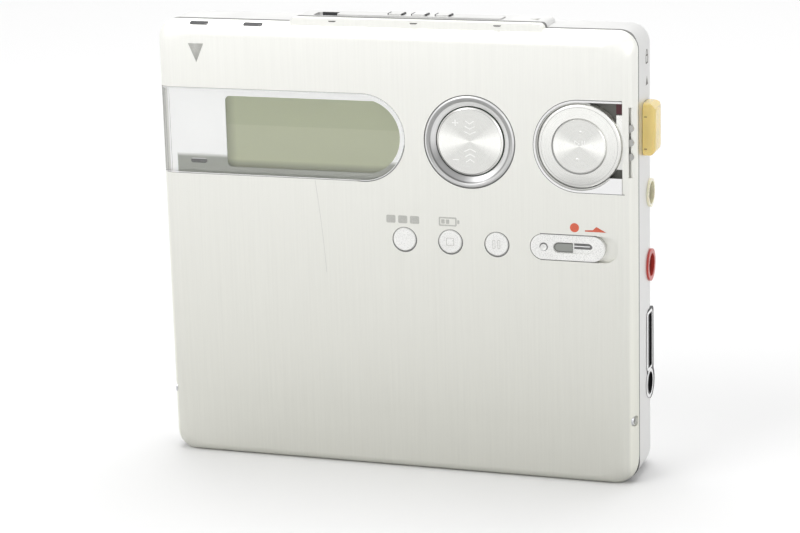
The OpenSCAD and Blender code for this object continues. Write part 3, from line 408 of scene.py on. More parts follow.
def plain(name, value, rough, metal=0.0, grain=2500.0, depth=0.006, coat=0.0, sub=0.0):
    """Moulded or plated piece: one colour with slow patches, a grain in the height and in the gloss."""
    n = Nodes(name)
    if n.new:
        grains = n.noise(n.place(), grain, 2.0)
        patches = n.noise(n.place(), 260.0, 2.0)
        n.set(Base_Color=n.tint(n.remap(patches, 0, 1), rgba(value, 0.95), rgba(value, 1.03)),
              Metallic=metal, Roughness=n.remap(grains, rough * 0.9, rough * 1.12), Coat_Weight=coat,
              Subsurface_Weight=sub, Normal=n.bump(grains, 0.12, depth))
        n.shader.inputs["Subsurface Radius"].default_value = (0.002, 0.0012, 0.0006)
    return n.mat


def clear_window():
    """Clear acrylic: nearly smooth, seen straight through."""
    n = Nodes("clear window")
    if n.new:
        waves = n.noise(n.place(), 300.0, 1.0)
        n.set(Base_Color=(0.995, 0.998, 0.998, 1), Roughness=n.remap(waves, 0.0, 0.02), IOR=1.47,
              Transmission_Weight=1.0, Normal=n.bump(waves, 0.02, 0.005))
    return n.mat


def window_print():
    """White print behind the window, with a painted reflection of the window's lower bevel as a grey strip
    along its foot from the small lens to the right, and a faint painted glow.
    """
    n = Nodes("window print with painted reflection and glow")
    if n.new:
        c = colours().surround
        # Painted reflection: a grey strip along the foot where the window's lower bevel would reflect.
        strip = n.math("MINIMUM", n.along("Z", *BEVEL_REFLECTION_TOP_Z), n.along("X", *BEVEL_REFLECTION_LEFT_X))
        grains = n.noise(n.place(), 3000.0, 2.0)
        print_and_painted_reflection = n.tint(strip, rgba(c), rgba((0.37, 0.38, 0.34)))
        # Painted light: a faint glow in the print's own colour, making up for light the glass holds back.
        n.set(Base_Color=print_and_painted_reflection, Metallic=0.92, Roughness=n.remap(grains, 0.42, 0.52),
              Emission_Color=print_and_painted_reflection, Emission_Strength=0.1)
    return n.mat


def display_cell():
    """Grey-green display: a painted reflection makes its lower half lighter past a sharp step, and painted
    shade darkens it by its left and lower edges.
    """
    n = Nodes("display cell")
    if n.new:
        c = colours().lcd
        x, z = LCD_LO[0] + CELL_EDGE, LCD_LO[2] + CELL_EDGE
        # Painted reflection: lighter below DISPLAY_REFLECTION_Z.
        half = n.along("Z", DISPLAY_REFLECTION_Z + 0.05, DISPLAY_REFLECTION_Z - 0.05)
        grains = n.noise(n.place(), 2500.0, 2.0)
        base = n.tint(half, rgba(c, 0.98), rgba(np.array(c) * (1.08, 1.06, 1.11)))
        # Painted shade by the left and lower edges, under the mask's rim.
        base = n.times(base, n.step("X", x + 0.1, x + 1.7, 0.66, 1.0),
                       n.step("Z", z + 0.2, z + 1.3, 0.45, 1.0), n.tint(grains, grey(0.98), WHITE))
        n.set(Base_Color=base, Roughness=0.35)
    return n.mat


def smoked_lens():
    """Dark lens with a painted highlight along its upper edge."""
    n = Nodes("smoked lens")
    if n.new:
        # Painted highlight: light along the lens's upper edge.
        edge = box_mm("led_lens")[1][2] - 0.13
        grains = n.noise(n.place(), 3000.0, 2.0)
        n.set(Base_Color=n.tint(n.along("Z", edge, edge + 0.05), (0.13, 0.13, 0.12, 1), (0.9, 0.9, 0.88, 1)),
              Roughness=n.remap(grains, 0.16, 0.24))
    return n.mat


def printed(name, value):
    """Ink on metal: matt, with small gaps in its density."""
    n = Nodes(name)
    if n.new:
        specks = n.noise(n.place(), 6000.0, 2.0)
        n.set(Base_Color=n.tint(n.remap(specks, 0, 1), rgba(value, 0.92), rgba(value, 1.08)),
              Roughness=n.remap(specks, 0.45, 0.6))
    return n.mat


def dark_plastic():
    return plain("dark plastic", colours().dark, 0.42)


def steel():
    return plain("plain steel", (0.60, 0.61, 0.63), 0.32, metal=0.95, grain=1500.0)


def finish_of(node):
    """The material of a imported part."""
    c = colours()
    fine = {"grain": 9000.0, "depth": 0.001, "coat": 0.2}
    makers = {
        "lid_shell": brushed_face,
        "base_shell": satin_casing, "top_rail": satin_casing, "open_knob": satin_casing,
        "battery_door": satin_casing,
        "display_window": clear_window,
        "window_mask": window_print,
        "lcd_panel": display_cell,
        "led_lens": smoked_lens,
        "pad_ring": ring_plate, "jog_bezel": bright_chrome, "rec_track": brushed_face,
        "jog_well": lambda: plain("well plastic", c.well, 0.5),
        "pad_rocker": lambda: plain("grey plastic", (0.45, 0.45, 0.43), 0.4),
        "pad_cap": lambda: spun_metal("spun pad", PAD, 1.06),
        "jog_dial": lambda: spun_metal("spun dial", JOG, 1.06, HALF_W - 1.35),
        "jog_button": lambda: spun_metal("spun button", JOG, 1.08),
        "rec_knob": lambda: plain("slider white", c.key, 0.28, metal=0.2, **fine),
        "group_button": lambda: plain("pearl key", c.key, 0.28, metal=0.15, **fine),
        "hold_knob": lambda: plain("amber plastic", c.amber, 0.22, coat=0.4, sub=0.2),
        "mic_jack": lambda: plain("red plastic", c.red, 0.3, coat=0.15, sub=0.1),
        "line_jack": lambda: plain("cream plastic", c.cream, 0.28, coat=0.3, sub=0.1),
        "lid_board": lambda: plain("board mask", (0.02, 0.10, 0.05), 0.3, coat=0.3),
        "battery": lambda: plain("battery can", (0.66, 0.68, 0.70), 0.3, metal=0.9),
        "battery_contacts": lambda: plain("gold plate", (0.80, 0.58, 0.22), 0.22, metal=1.0),
        "pickup_lens": lambda: plain("lens glass", (0.35, 0.45, 0.75), 0.04, coat=1.0),
        "screw_gear": lambda: plain("white acetal", (0.80, 0.78, 0.70), 0.4, sub=0.1),
    }
    same = {"stop_button": "group_button", "pause_button": "group_button", "main_board": "lid_board",
            "motor_pinion": "battery_contacts"}
    dark = ("head_arm", "remote_socket", "pickup_sled", "rod_bearings")
    node = same.get(node, node)
    if node in dark:
        return dark_plastic()
    return makers.get(node, steel)()


# Shapes: each is worked out as whole arrays

def build(name, points, faces, body, slot, material, smooth=True):
    """A closed mesh from points in millimetres, merged, facing outwards, riding on a body."""
    mesh = bpy.data.meshes.new(name)
    mesh.from_pydata((np.asarray(points, float) * MM).tolist(), [], [list(f) for f in faces])
    bm = bmesh.new()
    bm.from_mesh(mesh)
    bmesh.ops.remove_doubles(bm, verts=bm.verts, dist=1e-7)
    bmesh.ops.recalc_face_normals(bm, faces=bm.faces)
    for edge in bm.edges:
        edge.smooth = len(edge.link_faces) == 2 and edge.calc_face_angle(0.0) < math.radians(35)
    bm.to_mesh(mesh)
    bm.free()
    mesh.polygons.foreach_set("use_smooth", [smooth] * len(mesh.polygons))
    mesh.materials.append(material)
    obj = bpy.data.objects.new(name, mesh)
    bpy.context.scene.collection.objects.link(obj)
    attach(obj, body)
    return obj


def grid_faces(rows, columns, wrap_rows=False, wrap_columns=False):
    """Quads of a grid of points numbered row by row; a wrapped side joins its last line to its first."""
    r = np.arange(rows if wrap_rows else rows - 1)
    c = np.arange(columns if wrap_columns else columns - 1)
    rr, cc = np.meshgrid(r, c, indexing="ij")
    nr, nc = (rr + 1) % rows, (cc + 1) % columns
    quads = np.stack([rr * columns + cc, rr * columns + nc, nr * columns + nc, nr * columns + cc], -1)
    return quads.reshape(-1, 4)


def turned(profile, centre, turns=96):
    """A profile of (radius, y) turned about a line along Y at centre: x = cx + r cos t, z = cz + r sin t.
    A closed profile makes a ring; one that starts and ends at radius 0 makes a disc."""
    p = np.asarray(profile, float)
    t = np.linspace(0, 2 * np.pi, turns, endpoint=False)
    pts = np.stack([centre[0] + np.outer(p[:, 0], np.cos(t)), np.repeat(p[:, 1:2], turns, 1),
                    centre[1] + np.outer(p[:, 0], np.sin(t))], -1)
    closed = not (p[0, 0] == 0 and p[-1, 0] == 0)
    return pts.reshape(-1, 3), grid_faces(len(p), turns, closed, True)


def plate(outline, y0, y1):
    """An outline of (x, z) points made thick from y0 to y1: two copies joined by a wall."""
    o = np.asarray(outline, float)
    n = len(o)
    front = np.column_stack([o[:, 0], np.full(n, y0), o[:, 1]])
    back = np.column_stack([o[:, 0], np.full(n, y1), o[:, 1]])
    wall = grid_faces(2, n, False, True).tolist()
    return np.vstack([front, back]), [list(range(n))] + [list(range(2 * n - 1, n - 1, -1))] + wall


def frame_plate(outer, inner, y0, y1):
    """The space between two outlines with equally many points, made thick: a ring of four-sided section."""
    o, i = np.asarray(outer, float), np.asarray(inner, float)
    rows = [np.column_stack([a[:, 0], np.full(len(a), y), a[:, 1]])
            for a, y in ((o, y0), (o, y1), (i, y1), (i, y0))]
    return np.vstack(rows), grid_faces(4, len(o), True, True)


def join(*shapes):
    """Several shapes as one list of points and faces."""
    points, faces, at = [], [], 0
    for p, f in shapes:
        points.append(np.asarray(p))
        faces += [[int(v) + at for v in face] for face in f]
        at += len(p)
    return np.vstack(points), faces


def round_box(x0, x1, z0, z1, r, steps=6):
    """Outline of a rectangle whose corners are quarter circles of radius r."""
    a = np.linspace(0, np.pi / 2, steps)
    corners = ((x1 - r, z1 - r, 0), (x0 + r, z1 - r, 1), (x0 + r, z0 + r, 2), (x1 - r, z0 + r, 3))
    turns = [(cx, cz, a + k * np.pi / 2) for cx, cz, k in corners]
    return np.vstack([np.column_stack([cx + r * np.cos(t), cz + r * np.sin(t)]) for cx, cz, t in turns])


def circle(cx, cz, r, n=48):
    """Outline of a circle."""
    t = np.linspace(0, 2 * np.pi, n, endpoint=False)
    return np.column_stack([cx + r * np.cos(t), cz + r * np.sin(t)])


def arc(centre, r, start, end, n):
    """Part of a circle from start to end in degrees: x = cx + r cos t, z = cz + r sin t."""
    t = np.radians(np.linspace(start, end, n))
    return np.column_stack([centre[0] + r * np.cos(t), centre[1] + r * np.sin(t)])


def swept(path, half_w, half_t, up=(0, 0, 1), closed=False):
    """A flat strip carried along a path: four corners at plus and minus half_w across and half_t along up."""
    p = np.asarray(path, float)
    ahead = np.roll(p, -1, 0) - np.roll(p, 1, 0) if closed else np.gradient(p, axis=0)
    ahead /= np.linalg.norm(ahead, axis=1)[:, None]
    up = np.broadcast_to(np.asarray(up, float), p.shape)
    side = np.cross(ahead, up)
    side /= np.linalg.norm(side, axis=1)[:, None]
    ring = [p + a * half_w * side + b * half_t * up for a, b in ((-1, -1), (1, -1), (1, 1), (-1, 1))]
    pts = np.stack(ring, 1)
    faces = grid_faces(len(p), 4, closed, True).tolist()
    if not closed:
        last = 4 * (len(p) - 1)
        faces += [[3, 2, 1, 0], [last, last + 1, last + 2, last + 3]]
    return pts.reshape(-1, 3), faces


def half_pill(end, flat, z, r):
    """Outline of a slot with one round end and one flat end."""
    side = np.sign(flat - end)
    a = np.linspace(-np.pi / 2, np.pi / 2, 17)
    bow = np.column_stack([end + side * r * (1 - np.cos(a)), z + r * np.sin(a)])
    return np.vstack([bow, [(flat, z + r), (flat, z - r)]])


def hairline(y):
    """Front and back of a line laid into a surface at y."""
    return y - LINE_OUT, y + LINE_IN


def ring(centre, r0, r1, y0, y1, turns=96):
    """A flat ring between two radii: a four-sided section turned about its centre."""
    return turned([(r0, y0), (r1, y0), (r1, y1), (r0, y1)], centre, turns)


def stroke(points, width, y, closed=False):
    """A printed line through (x, z) points: a flat strip whose middle plane stands at y."""
    p = np.asarray(points, float)
    path = np.column_stack([p[:, 0], np.full(len(p), y), p[:, 1]])
    return swept(path, width / 2, sizes().print_t / 2, (0, 1, 0), closed)


def moved_back(shape, centre, depth):
    """A shape whose points move back by depth(d^2), with d their distance from a centre on the face."""
    points, faces = shape
    p = np.array(points)
    p[:, 1] += depth((p[:, 0] - centre[0]) ** 2 + (p[:, 2] - centre[1]) ** 2)
    return p, faces


def laid(shape, centre, r, y, deep):
    """A flat shape drawn at y 0 and laid into a dish: y + deep (1 - d^2 / r^2)."""
    return moved_back(shape, centre, lambda d2: y + deep * (1 - d2 / r ** 2))


def sunk(shape, centre, r, y):
    """A flat shape drawn at y 0 and laid into a round dimple: y + sqrt(r^2 - d^2)."""
    return moved_back(shape, centre, lambda d2: y + np.sqrt(np.maximum(r * r - d2, 0)))


def crescent(centre, r, shift, grow=0.0, n=48):
    """The space between a circle and a larger one moved by shift: thick on one side, thin on the other."""
    outer = circle(centre[0] + shift[0], centre[1] + shift[1], r + grow, n)
    return outer, circle(centre[0], centre[1], r, n)


def on_side(shape):
    """A shape drawn from the front as (y, x, z) turned so that it is seen from the right."""
    points, faces = shape
    return np.asarray(points)[:, [1, 0, 2]], faces


def on_top(shape):
    """A shape drawn from the front as (x, z, y) turned so that it is seen from above."""
    points, faces = shape
    return np.asarray(points)[:, [0, 2, 1]], faces


def bent(shape):
    """A shape on the flat of the lid's top, sunk with its rounded front edge: r - sqrt(r^2 - out^2)."""
    points, faces = shape
    p = np.array(points)
    out = np.clip(FRONT_Y + EDGE_R - p[:, 1], 0, EDGE_R * 0.999)
    p[:, 2] -= EDGE_R - np.sqrt(EDGE_R ** 2 - out ** 2)
    return p, faces


def edge_y(x):
    """The face's depth at x: flat, then a quarter circle down to the side."""
    r = EDGE_R
    out = np.clip(np.abs(x) - (HALF_W - r), 0, r * 0.999)
    return FRONT_Y + r - np.sqrt(r * r - out * out)


# Pieces of the face

def grey_print():
    return printed("grey print", colours().mark)


def pale_print():
    return printed("pale print", (0.50, 0.50, 0.47))


def red_print():
    return printed("red print", colours().red_mark)


def seam_line():
    return plain("seam shadow", (0.16, 0.16, 0.16), 0.5)


def soft_line_and_shade():
    # Grey of fine lines, also used as painted shade along the window's foot and inside the jog button's rim.
    return plain("soft line and painted shade", (0.40, 0.40, 0.39), 0.45, metal=0.4)


def etched():
    return plain("etched mark", (0.95, 0.95, 0.93), 0.55, metal=0.2)


def face_marks():
    """Printed marks: the triangle, the pictograms over the keys, the red dot and the half arrow."""
    t = sizes().print_t
    front, back = FRONT_Y - t, FRONT_Y + 0.005
    build("mark_triangle", *plate(TRIANGLE, front, back), "lid", "smoke", grey_print())
    key_z = KEYS[0][1]
    z = key_z + 3.2
    x = KEYS[0][0] - 0.2
    tracks = [plate(round_box(x + k - 0.75, x + k + 0.75, z - 0.62, z + 0.62, 0.22), front, back)
              for k in (-1.95, 0, 1.95)]
    build("mark_group", *join(*tracks), "lid", "smoke", grey_print())
    x = KEYS[1][0] - 0.2
    cell = frame_plate(round_box(x - 1.6, x + 1.3, z - 0.72, z + 0.72, 0.2),
                       round_box(x - 1.38, x + 1.08, z - 0.5, z + 0.5, 0.1), front, back)
    nub = plate(round_box(x + 1.42, x + 1.75, z - 0.3, z + 0.3, 0.08), front, back)
    bars = [plate(round_box(x + k, x + k + 0.55, z - 0.34, z + 0.34, 0.05), front, back)
            for k in (-1.2, -0.45)]
    build("mark_charge", *join(cell, nub, *bars), "lid", "smoke", grey_print())
    build("mark_record_dot", *plate(circle(*RECORD_DOT, 0.72, 32), front, back), "lid", "red", red_print())
    build("mark_record_arrow", *plate(RECORD_ARROW, front, back), "lid", "red", red_print())
    s = np.linspace(0, 1, 24)
    scratch = np.column_stack([SCRATCH_TOP[0] + SCRATCH_RUN[0] * s + 0.14 * np.sin(np.pi * s),
                               SCRATCH_TOP[1] + SCRATCH_RUN[1] * s])
    build("scratch", *stroke(scratch, 0.07, FRONT_Y), "lid", "face",
          plain("scratch", (0.62, 0.62, 0.59), 0.5, metal=0.6))


def window_path(grow):
    """The window's outline from its upper left corner round its right end: a line, a half circle, a line."""
    x, z = WIN_END
    r = WIN_R + grow
    line = np.linspace(-HALF_W + 0.35, x, 60)
    top = np.column_stack([line, np.full(60, z + r)])
    low = np.column_stack([line[::-1], np.full(60, z - r)])
    return np.vstack([top, arc(WIN_END, r, 90, -90, 41)[1:-1], low])


def window_detail():
    """The thin seam round the window, the bright bevel inside it and the upright lines of its wrapped end."""
    def wrapped(path, width):
        slope = np.clip((np.abs(path[:, 0]) - (HALF_W - EDGE_R)) / EDGE_R, 0, 0.98)
        out = np.column_stack([-slope, -np.sqrt(1 - slope ** 2), np.zeros(len(path))])
        points = np.column_stack([path[:, 0], edge_y(path[:, 0]), path[:, 1]])
        return swept(points, width / 2, 0.012, out)

    build("window_seam", *wrapped(window_path(0.02), 0.08), "lid", "smoke", soft_line_and_shade())
    build("window_bevel", *wrapped(window_path(-0.12), 0.10), "lid", "chrome", bright_chrome())
    # Painted shade: a grey line along the lower right of the window's round end.
    foot = arc(WIN_END, WIN_R + 0.02, -8, -98, 40)
    build("window_foot", *stroke(foot, 0.17, FRONT_Y - 0.002), "lid", "smoke", soft_line_and_shade())
    z = np.linspace(WIN_LO[2] + 0.3, WIN_HI[2] - 0.3, 20)
    lines = [wrapped(np.column_stack([np.full(20, x), z]), 0.05) for x in WINDOW_LINES_X]
    build("window_lines", *join(*lines), "lid", "smoke", soft_line_and_shade())


def pad_detail():
    """Rings of the pad's surround, and the chevrons, plus and minus in its dished cap."""
    ring_y = box_mm("pad_ring")[0][1]
    cap_lo, cap_hi = box_mm("pad_cap")
    cap_r = (cap_hi[0] - cap_lo[0]) / 2
    seam = ring(PAD, PAD_RING_R + 0.01, PAD_RING_R + 0.10, FRONT_Y - 0.012, FRONT_Y + 0.02)
    build("pad_seam", *seam, "lid", "smoke", seam_line())
    build("pad_groove", *ring(PAD, *PAD_GROOVE_R, ring_y + 0.07, ring_y + 0.12), "lid", "smoke", soft_line_and_shade())
    build("pad_cap_line", *ring(PAD, cap_r - 0.31, cap_r - 0.25, FRONT_Y + 0.192, FRONT_Y + 0.22), "pad_cap",
          "smoke", soft_line_and_shade())
    cx, cz = PAD
    marks = []
    for side in (1, -1):
        for i in range(3):
            w = 0.95 - 0.14 * i
            z = cz + side * (1.15 + 0.82 * i)
            marks.append(stroke([(cx - w, z + side * 0.45), (cx, z), (cx + w, z + side * 0.45)], 0.16, 0))
        x = cx - 2.3
        z = cz + side * 2.9
        marks.append(stroke([(x - 0.5, z), (x, z), (x + 0.5, z)], 0.17, 0))
    marks.append(stroke([(cx - 2.3, cz + 2.4), (cx - 2.3, cz + 2.9), (cx - 2.3, cz + 3.4)], 0.17, 0))
    dished = laid(join(*marks), PAD, cap_r - 0.25, FRONT_Y + 0.2, 0.2)
    build("pad_marks", *dished, "pad_cap", "spun", etched())


def jog_detail():
    """Lines of the jog lever: its seam, the edge of its disc, its seal and stop, and its button's marks."""
    cx, cz = JOG
    bezel_lo, bezel_hi = box_mm("jog_bezel")
    r = (bezel_hi[2] - bezel_lo[2]) / 2 + 0.05
    seam = np.vstack([[(bezel_hi[0], cz + r)], arc(JOG, r, 90, 270, 49), [(bezel_hi[0] + 0.4, cz - r)]])
    build("jog_seam", *stroke(seam, 0.10, FRONT_Y - 0.002), "lid", "smoke", seam_line())
    dial_lo, dial_hi = box_mm("jog_dial")
    dial_r = (dial_hi[2] - dial_lo[2]) / 2
    y = FRONT_Y + 0.15
    line = ring(JOG, dial_r - 0.65, dial_r - 0.60, *hairline(y))
    build("jog_dial_line", *line, "jog_dial", "smoke", soft_line_and_shade())
    build("jog_seal", *stroke(arc(JOG, JOG_SEAL_R, 75, 315, 60), 0.22, FRONT_Y + 0.35), "lid", "smoke",
          plain("felt seal", (0.64, 0.64, 0.61), 0.7))
    # Painted shade: a grey crescent inside the button's rim, thickest low on the left.
    shade = frame_plate(circle(cx, cz, JOG_BUTTON_R - 0.06),
                        circle(cx + 0.07, cz + 0.07, JOG_BUTTON_R - 0.17), FRONT_Y + 0.042, FRONT_Y + 0.06)
    build("jog_button_shade", *shade, "jog_button", "smoke", soft_line_and_shade())
    at = (JOG, JOG_BUTTON_R - 0.25, FRONT_Y + 0.05, 0.15)
    front, back = -0.012, 0.004
    play = [frame_plate([(cx - 0.75, cz - 0.15), (cx - 0.75, cz + 0.95), (cx + 0.15, cz + 0.4)],
                        [(cx - 0.65, cz + 0.02), (cx - 0.65, cz + 0.78), (cx - 0.04, cz + 0.4)], front, back)]
    play += [plate(round_box(cx + k, cx + k + 0.12, cz - 0.15, cz + 0.95, 0.04), front, back)
             for k in (0.4, 0.8)]
    skips = []
    for side in (1, -1):
        for i in (0, 1):
            x = cx + side * (2.0 + 0.62 * i)
            skips.append(stroke([(x, cz - 0.42), (x + side * 0.5, cz), (x, cz + 0.42)], 0.1, -0.004))
    build("jog_marks", *laid(join(*play, *skips), *at), "jog_button", "spun", etched())
    dome = [(0, -0.09), (0.12, -0.085), (0.24, -0.05), (0.3, 0.01), (0.3, 0.03), (0, 0.03)]
    dots = [turned(dome, (cx + x, cz + z), 24) for x, z in ((0.3, 2.15), (-0.3, -2.1))]
    build("jog_dots", *laid(join(*dots), *at), "jog_button", "spun", finish_of("jog_button"))
    floor_y = box_mm("jog_well")[0][1]
    build("jog_stop", *plate(round_box(*JOG_STOP, 0.15), floor_y - 0.03, floor_y - 0.002), "lid", "red",
          plain("stop rubber", (0.10, 0.02, 0.03), 0.45))


def key_detail():
    """A painted shadow in the thin gap round each key, thickest low on the right, a square on the stop key
    and two bars on the pause key.
    """
    key_y = box_mm("stop_button")[0][1]
    bodies = ("group_button", "stop_button", "pause_button")
    for centre, body in zip(KEYS, bodies):
        # Painted shadow: a dark crescent round each key, thicker low on the right.
        gap_shadow = frame_plate(*crescent(centre, KEY_R + 0.02, (0.05, -0.05), 0.11), *hairline(FRONT_Y))
        build(body + "_gap", *gap_shadow, "lid", "smoke", seam_line())
    front, back = key_y - 0.008, key_y + 0.004
    x, z = KEYS[1]
    square = frame_plate(round_box(x - 0.62, x + 0.62, z - 0.62, z + 0.62, 0.1),
                         round_box(x - 0.54, x + 0.54, z - 0.54, z + 0.54, 0.05), front, back)
    build("stop_mark", *square, "stop_button", "smoke", pale_print())
    x, z = KEYS[2]
    bars = [frame_plate(round_box(x + k, x + k + 0.42, z - 0.68, z + 0.68, 0.08),
                        round_box(x + k + 0.07, x + k + 0.35, z - 0.61, z + 0.61, 0.03), front, back)
            for k in (-0.62, 0.18)]
    build("pause_mark", *join(*bars), "pause_button", "smoke", pale_print())


def record_detail():
    """The record slider's seam, its grey insert, its slotted groove and the shade of its dimple."""
    lo, hi = box_mm("rec_knob")
    z = (lo[2] + hi[2]) / 2
    r = (hi[2] - lo[2]) / 2
    x0 = box_mm("rec_track")[0][0] + 0.5
    lines = [plate(round_box(x0 + 1.6, x0 + long, at - half, at + half, 0.02), *hairline(FRONT_Y))
             for long, at, half in ((10.6, z + r + 0.10, 0.06), (10.9, z - r - 0.08, 0.03))]
    build("record_seam", *join(*lines), "lid", "smoke", seam_line())
    dimple = (lo[0] + 2.1, z)
    # Painted shadow: a dark crescent in the upper right of the knob's dimple.
    shade = frame_plate(circle(*dimple, 0.66), circle(dimple[0] - 0.09, z - 0.12, 0.50), 0, 0.008)
    build("record_dimple_shadow", *sunk(shade, dimple, 0.9, lo[1] - 0.556), "rec_knob", "smoke", seam_line())
    end0, end1 = lo[0] + 3.72, lo[0] + 9.78
    mid = (end0 + end1) / 2
    bed = lo[1] + 0.3
    outline = half_pill(end0, mid - 0.08, z, 0.73)
    build("record_insert", *plate(outline, bed - 0.12, bed - 0.005), "rec_knob", "smoke",
          plain("grey insert", (0.30, 0.31, 0.29), 0.4, metal=0.6, grain=4500.0, depth=0.02))
    edge = frame_plate(outline, half_pill(end0 + 0.15, mid - 0.12, z, 0.60), bed - 0.125, bed - 0.115)
    build("record_insert_edge", *edge, "rec_knob", "smoke", plain("grey edge", (0.13, 0.13, 0.125), 0.5))
    groove = plate(half_pill(end1, mid + 0.15, z + 0.28, 0.45), bed - 0.02, bed - 0.005)
    build("record_groove", *groove, "rec_knob", "smoke", seam_line())
    light = plate(round_box(mid + 0.15, end1 - 0.4, z + 0.22, z + 0.36, 0.05), bed - 0.06, bed - 0.02)
    build("record_light", *light, "rec_knob", "chrome", bright_chrome())


def top_detail():
    """Slots and ticks of the lid's top, a painted shadow in the rail's slot, the rail's arrow, the strokes of
    the slider's grips.
    """
    dark = dark_plastic()
    back = LID_BACK_Y
    slots = [plate(round_box(x0, x1, back - 1.95, back - 1.25, 0.25, 9), TOP_Z - 0.01, TOP_Z + 0.02)
             for x0, x1 in TOP_SLOTS_X]
    build("top_slots", *bent(on_top(join(*slots))), "lid", "dark", dark)
    rail_lo, rail_hi = box_mm("top_rail")
    top = rail_hi[2]
    lid_top = LID_HI[2]
    ticks = [plate(round_box(x - 0.6, x + 0.6, back - 1.75, back - 1.2, 0.2), lid_top - 0.01, lid_top + 0.02)
             for x in TOP_TICKS_X]
    build("top_ticks", *bent(on_top(join(*ticks))), "lid", "smoke", dark)
    knob_lo, knob_hi = box_mm("open_knob")
    y = (rail_lo[1] + rail_hi[1]) / 2
    wall = rail_hi[1] - 1.2
    # Painted shadow: a dark panel on the wall of the rail's slot beside the knob.
    recess = plate(round_box(knob_lo[0] - 3.7, knob_lo[0] - 0.05, TOP_Z + 0.02, top - 0.02, 0.3),
                   wall - 0.045, wall - 0.005)
    build("rail_recess_shadow", *recess, "base", "dark", dark)
    mid = (knob_lo[0] + knob_hi[0]) / 2
    places = [mid + i * 3.85 + k for i in (-1, 0, 1) for k in (-1.16, 1.16)]
    ribs = [on_top(plate(round_box(x - 0.13, x + 0.13, y - 0.85, y + 0.85, 0.1), top + 0.16, top + 0.44))
            for x in places]
    build("slider_strokes", *join(*ribs), "open_slider", "dark", dark)
    x = rail_hi[0] - 2.3
    head = on_top(plate([(x - 0.9, y), (x + 0.5, y + 0.75), (x + 0.5, y - 0.75)], top - 0.01, top + 0.02))
    build("rail_arrow", *head, "base", "smoke", grey_print())


def side_detail():
    """Right side: the printed marks, the knob's ticks, the socket's rims and pins, the jacks' linings in
    painted shade.
    """
    x = HALF_W
    t = sizes().print_t
    lock = frame_plate(round_box(0.1, 1.5, 65.5, 66.9, 0.12), round_box(0.32, 1.28, 65.72, 66.68, 0.06),
                       x - 0.02, x + t)
    a = np.linspace(0, np.pi, 15)
    shackle = np.column_stack([0.8 + 0.42 * np.cos(a), np.full(15, x), 66.9 + 0.75 * np.sin(a)])
    bow = swept(shackle, 0.1, t, (0, 1, 0))
    arrow = plate([(0.1, 62.2), (1.5, 62.2), (0.8, 63.5)], x - 0.02, x + t)
    build("hold_marks", *on_side(join(lock, bow, arrow)), "base", "smoke",
          printed("dark print", (0.16, 0.15, 0.14)))
    lo, hi = box_mm("hold_knob")
    mid = (lo[2] + hi[2]) / 2
    ticks = [plate(round_box(x + 0.3, x + 0.75, z - 0.08, z + 0.08, 0.04), *hairline(lo[1]))
             for z in (mid - 2.9, mid + 2.1)]
    build("hold_ticks", *join(*ticks), "hold_knob", "amber", plain("amber line", (0.30, 0.18, 0.06), 0.4))
    out = box_mm("remote_socket")[1][0]
    cy = box_mm("mic_jack")[0][1] + JACK_AXIS
    slot0, slot1 = SOCKET_Z + 2.6, SOCKET_Z + 11.6
    rim = frame_plate(round_box(cy - 1.9, cy + 1.7, slot0 - 0.3, slot1 + 0.35, 0.7),
                      round_box(cy - 1.3, cy + 1.3, slot0 + 0.1, slot1 - 0.1, 0.3), out - 0.03, out + 0.02)
    build("socket_rim", *on_side(rim), "base", "chrome", bright_chrome())
    hole = ring((cy, SOCKET_Z), 1.84, 2.35, out - 0.05, out + 0.02, 48)
    build("socket_ring", *on_side(hole), "base", "chrome", bright_chrome())
    pins = [plate(round_box(cy + k, cy + k + 0.12, z - 0.22, z + 0.22, 0.04), out - 3.6, out - 1.3)
            for z in np.linspace(slot0 + 1.2, slot1 - 1.2, 8) for k in (-0.43, 0.31)]
    build("socket_pins", *on_side(join(*pins)), "base", "gold", finish_of("battery_contacts"))
    # Painted shade: the linings are darker copies of the jacks' red and cream.
    linings = plain("red lining, painted shade", (0.22, 0.02, 0.015), 0.5), plain("cream lining, painted shade", (0.42, 0.40, 0.30), 0.5)
    for node, z, lining in zip(("mic_jack", "line_jack"), JACKS, linings):
        face = box_mm(node)[1][0]
        throat = turned([(1.79, face - 6.0), (1.79, face - 0.5), (1.72, face - 0.5), (1.72, face - 6.0)],
                        (cy, z), 48)
        build(node + "_lining", *on_side(throat), "base", "dark", lining)


def screw_detail():
    """Crossed slots in the heads of the lid's side screws."""
    y, z = FRONT_Y + 1.525, SIDE_SCREW_Z
    bars = []
    for side in (-1, 1):
        x = side * (HALF_W - 0.45)
        x0, x1 = sorted((x - side * 0.12, x + side * 0.005))
        for half_y, half_z in ((0.5, 0.09), (0.09, 0.5)):
            slot = round_box(y - half_y, y + half_y, z - half_z, z + half_z, 0.04)
            bars.append(on_side(plate(slot, x0, x1)))
    build("screw_slots", *join(*bars), "lid", "screw", dark_plastic())


def drive_detail():
    """Pressed stiffening ribs of the disc holder."""
    y = box_mm("disc_holder")[0][1]
    ribs = []
    for x in HOLDER_RIBS_X:
        path = np.column_stack([np.full(30, x), np.full(30, y), np.linspace(34, 62, 30)])
        ribs.append(swept(path, 0.35, 0.02, (0, 1, 0)))
    build("holder_ribs", *join(*ribs), "disc_holder", "steel", steel())


# Operators

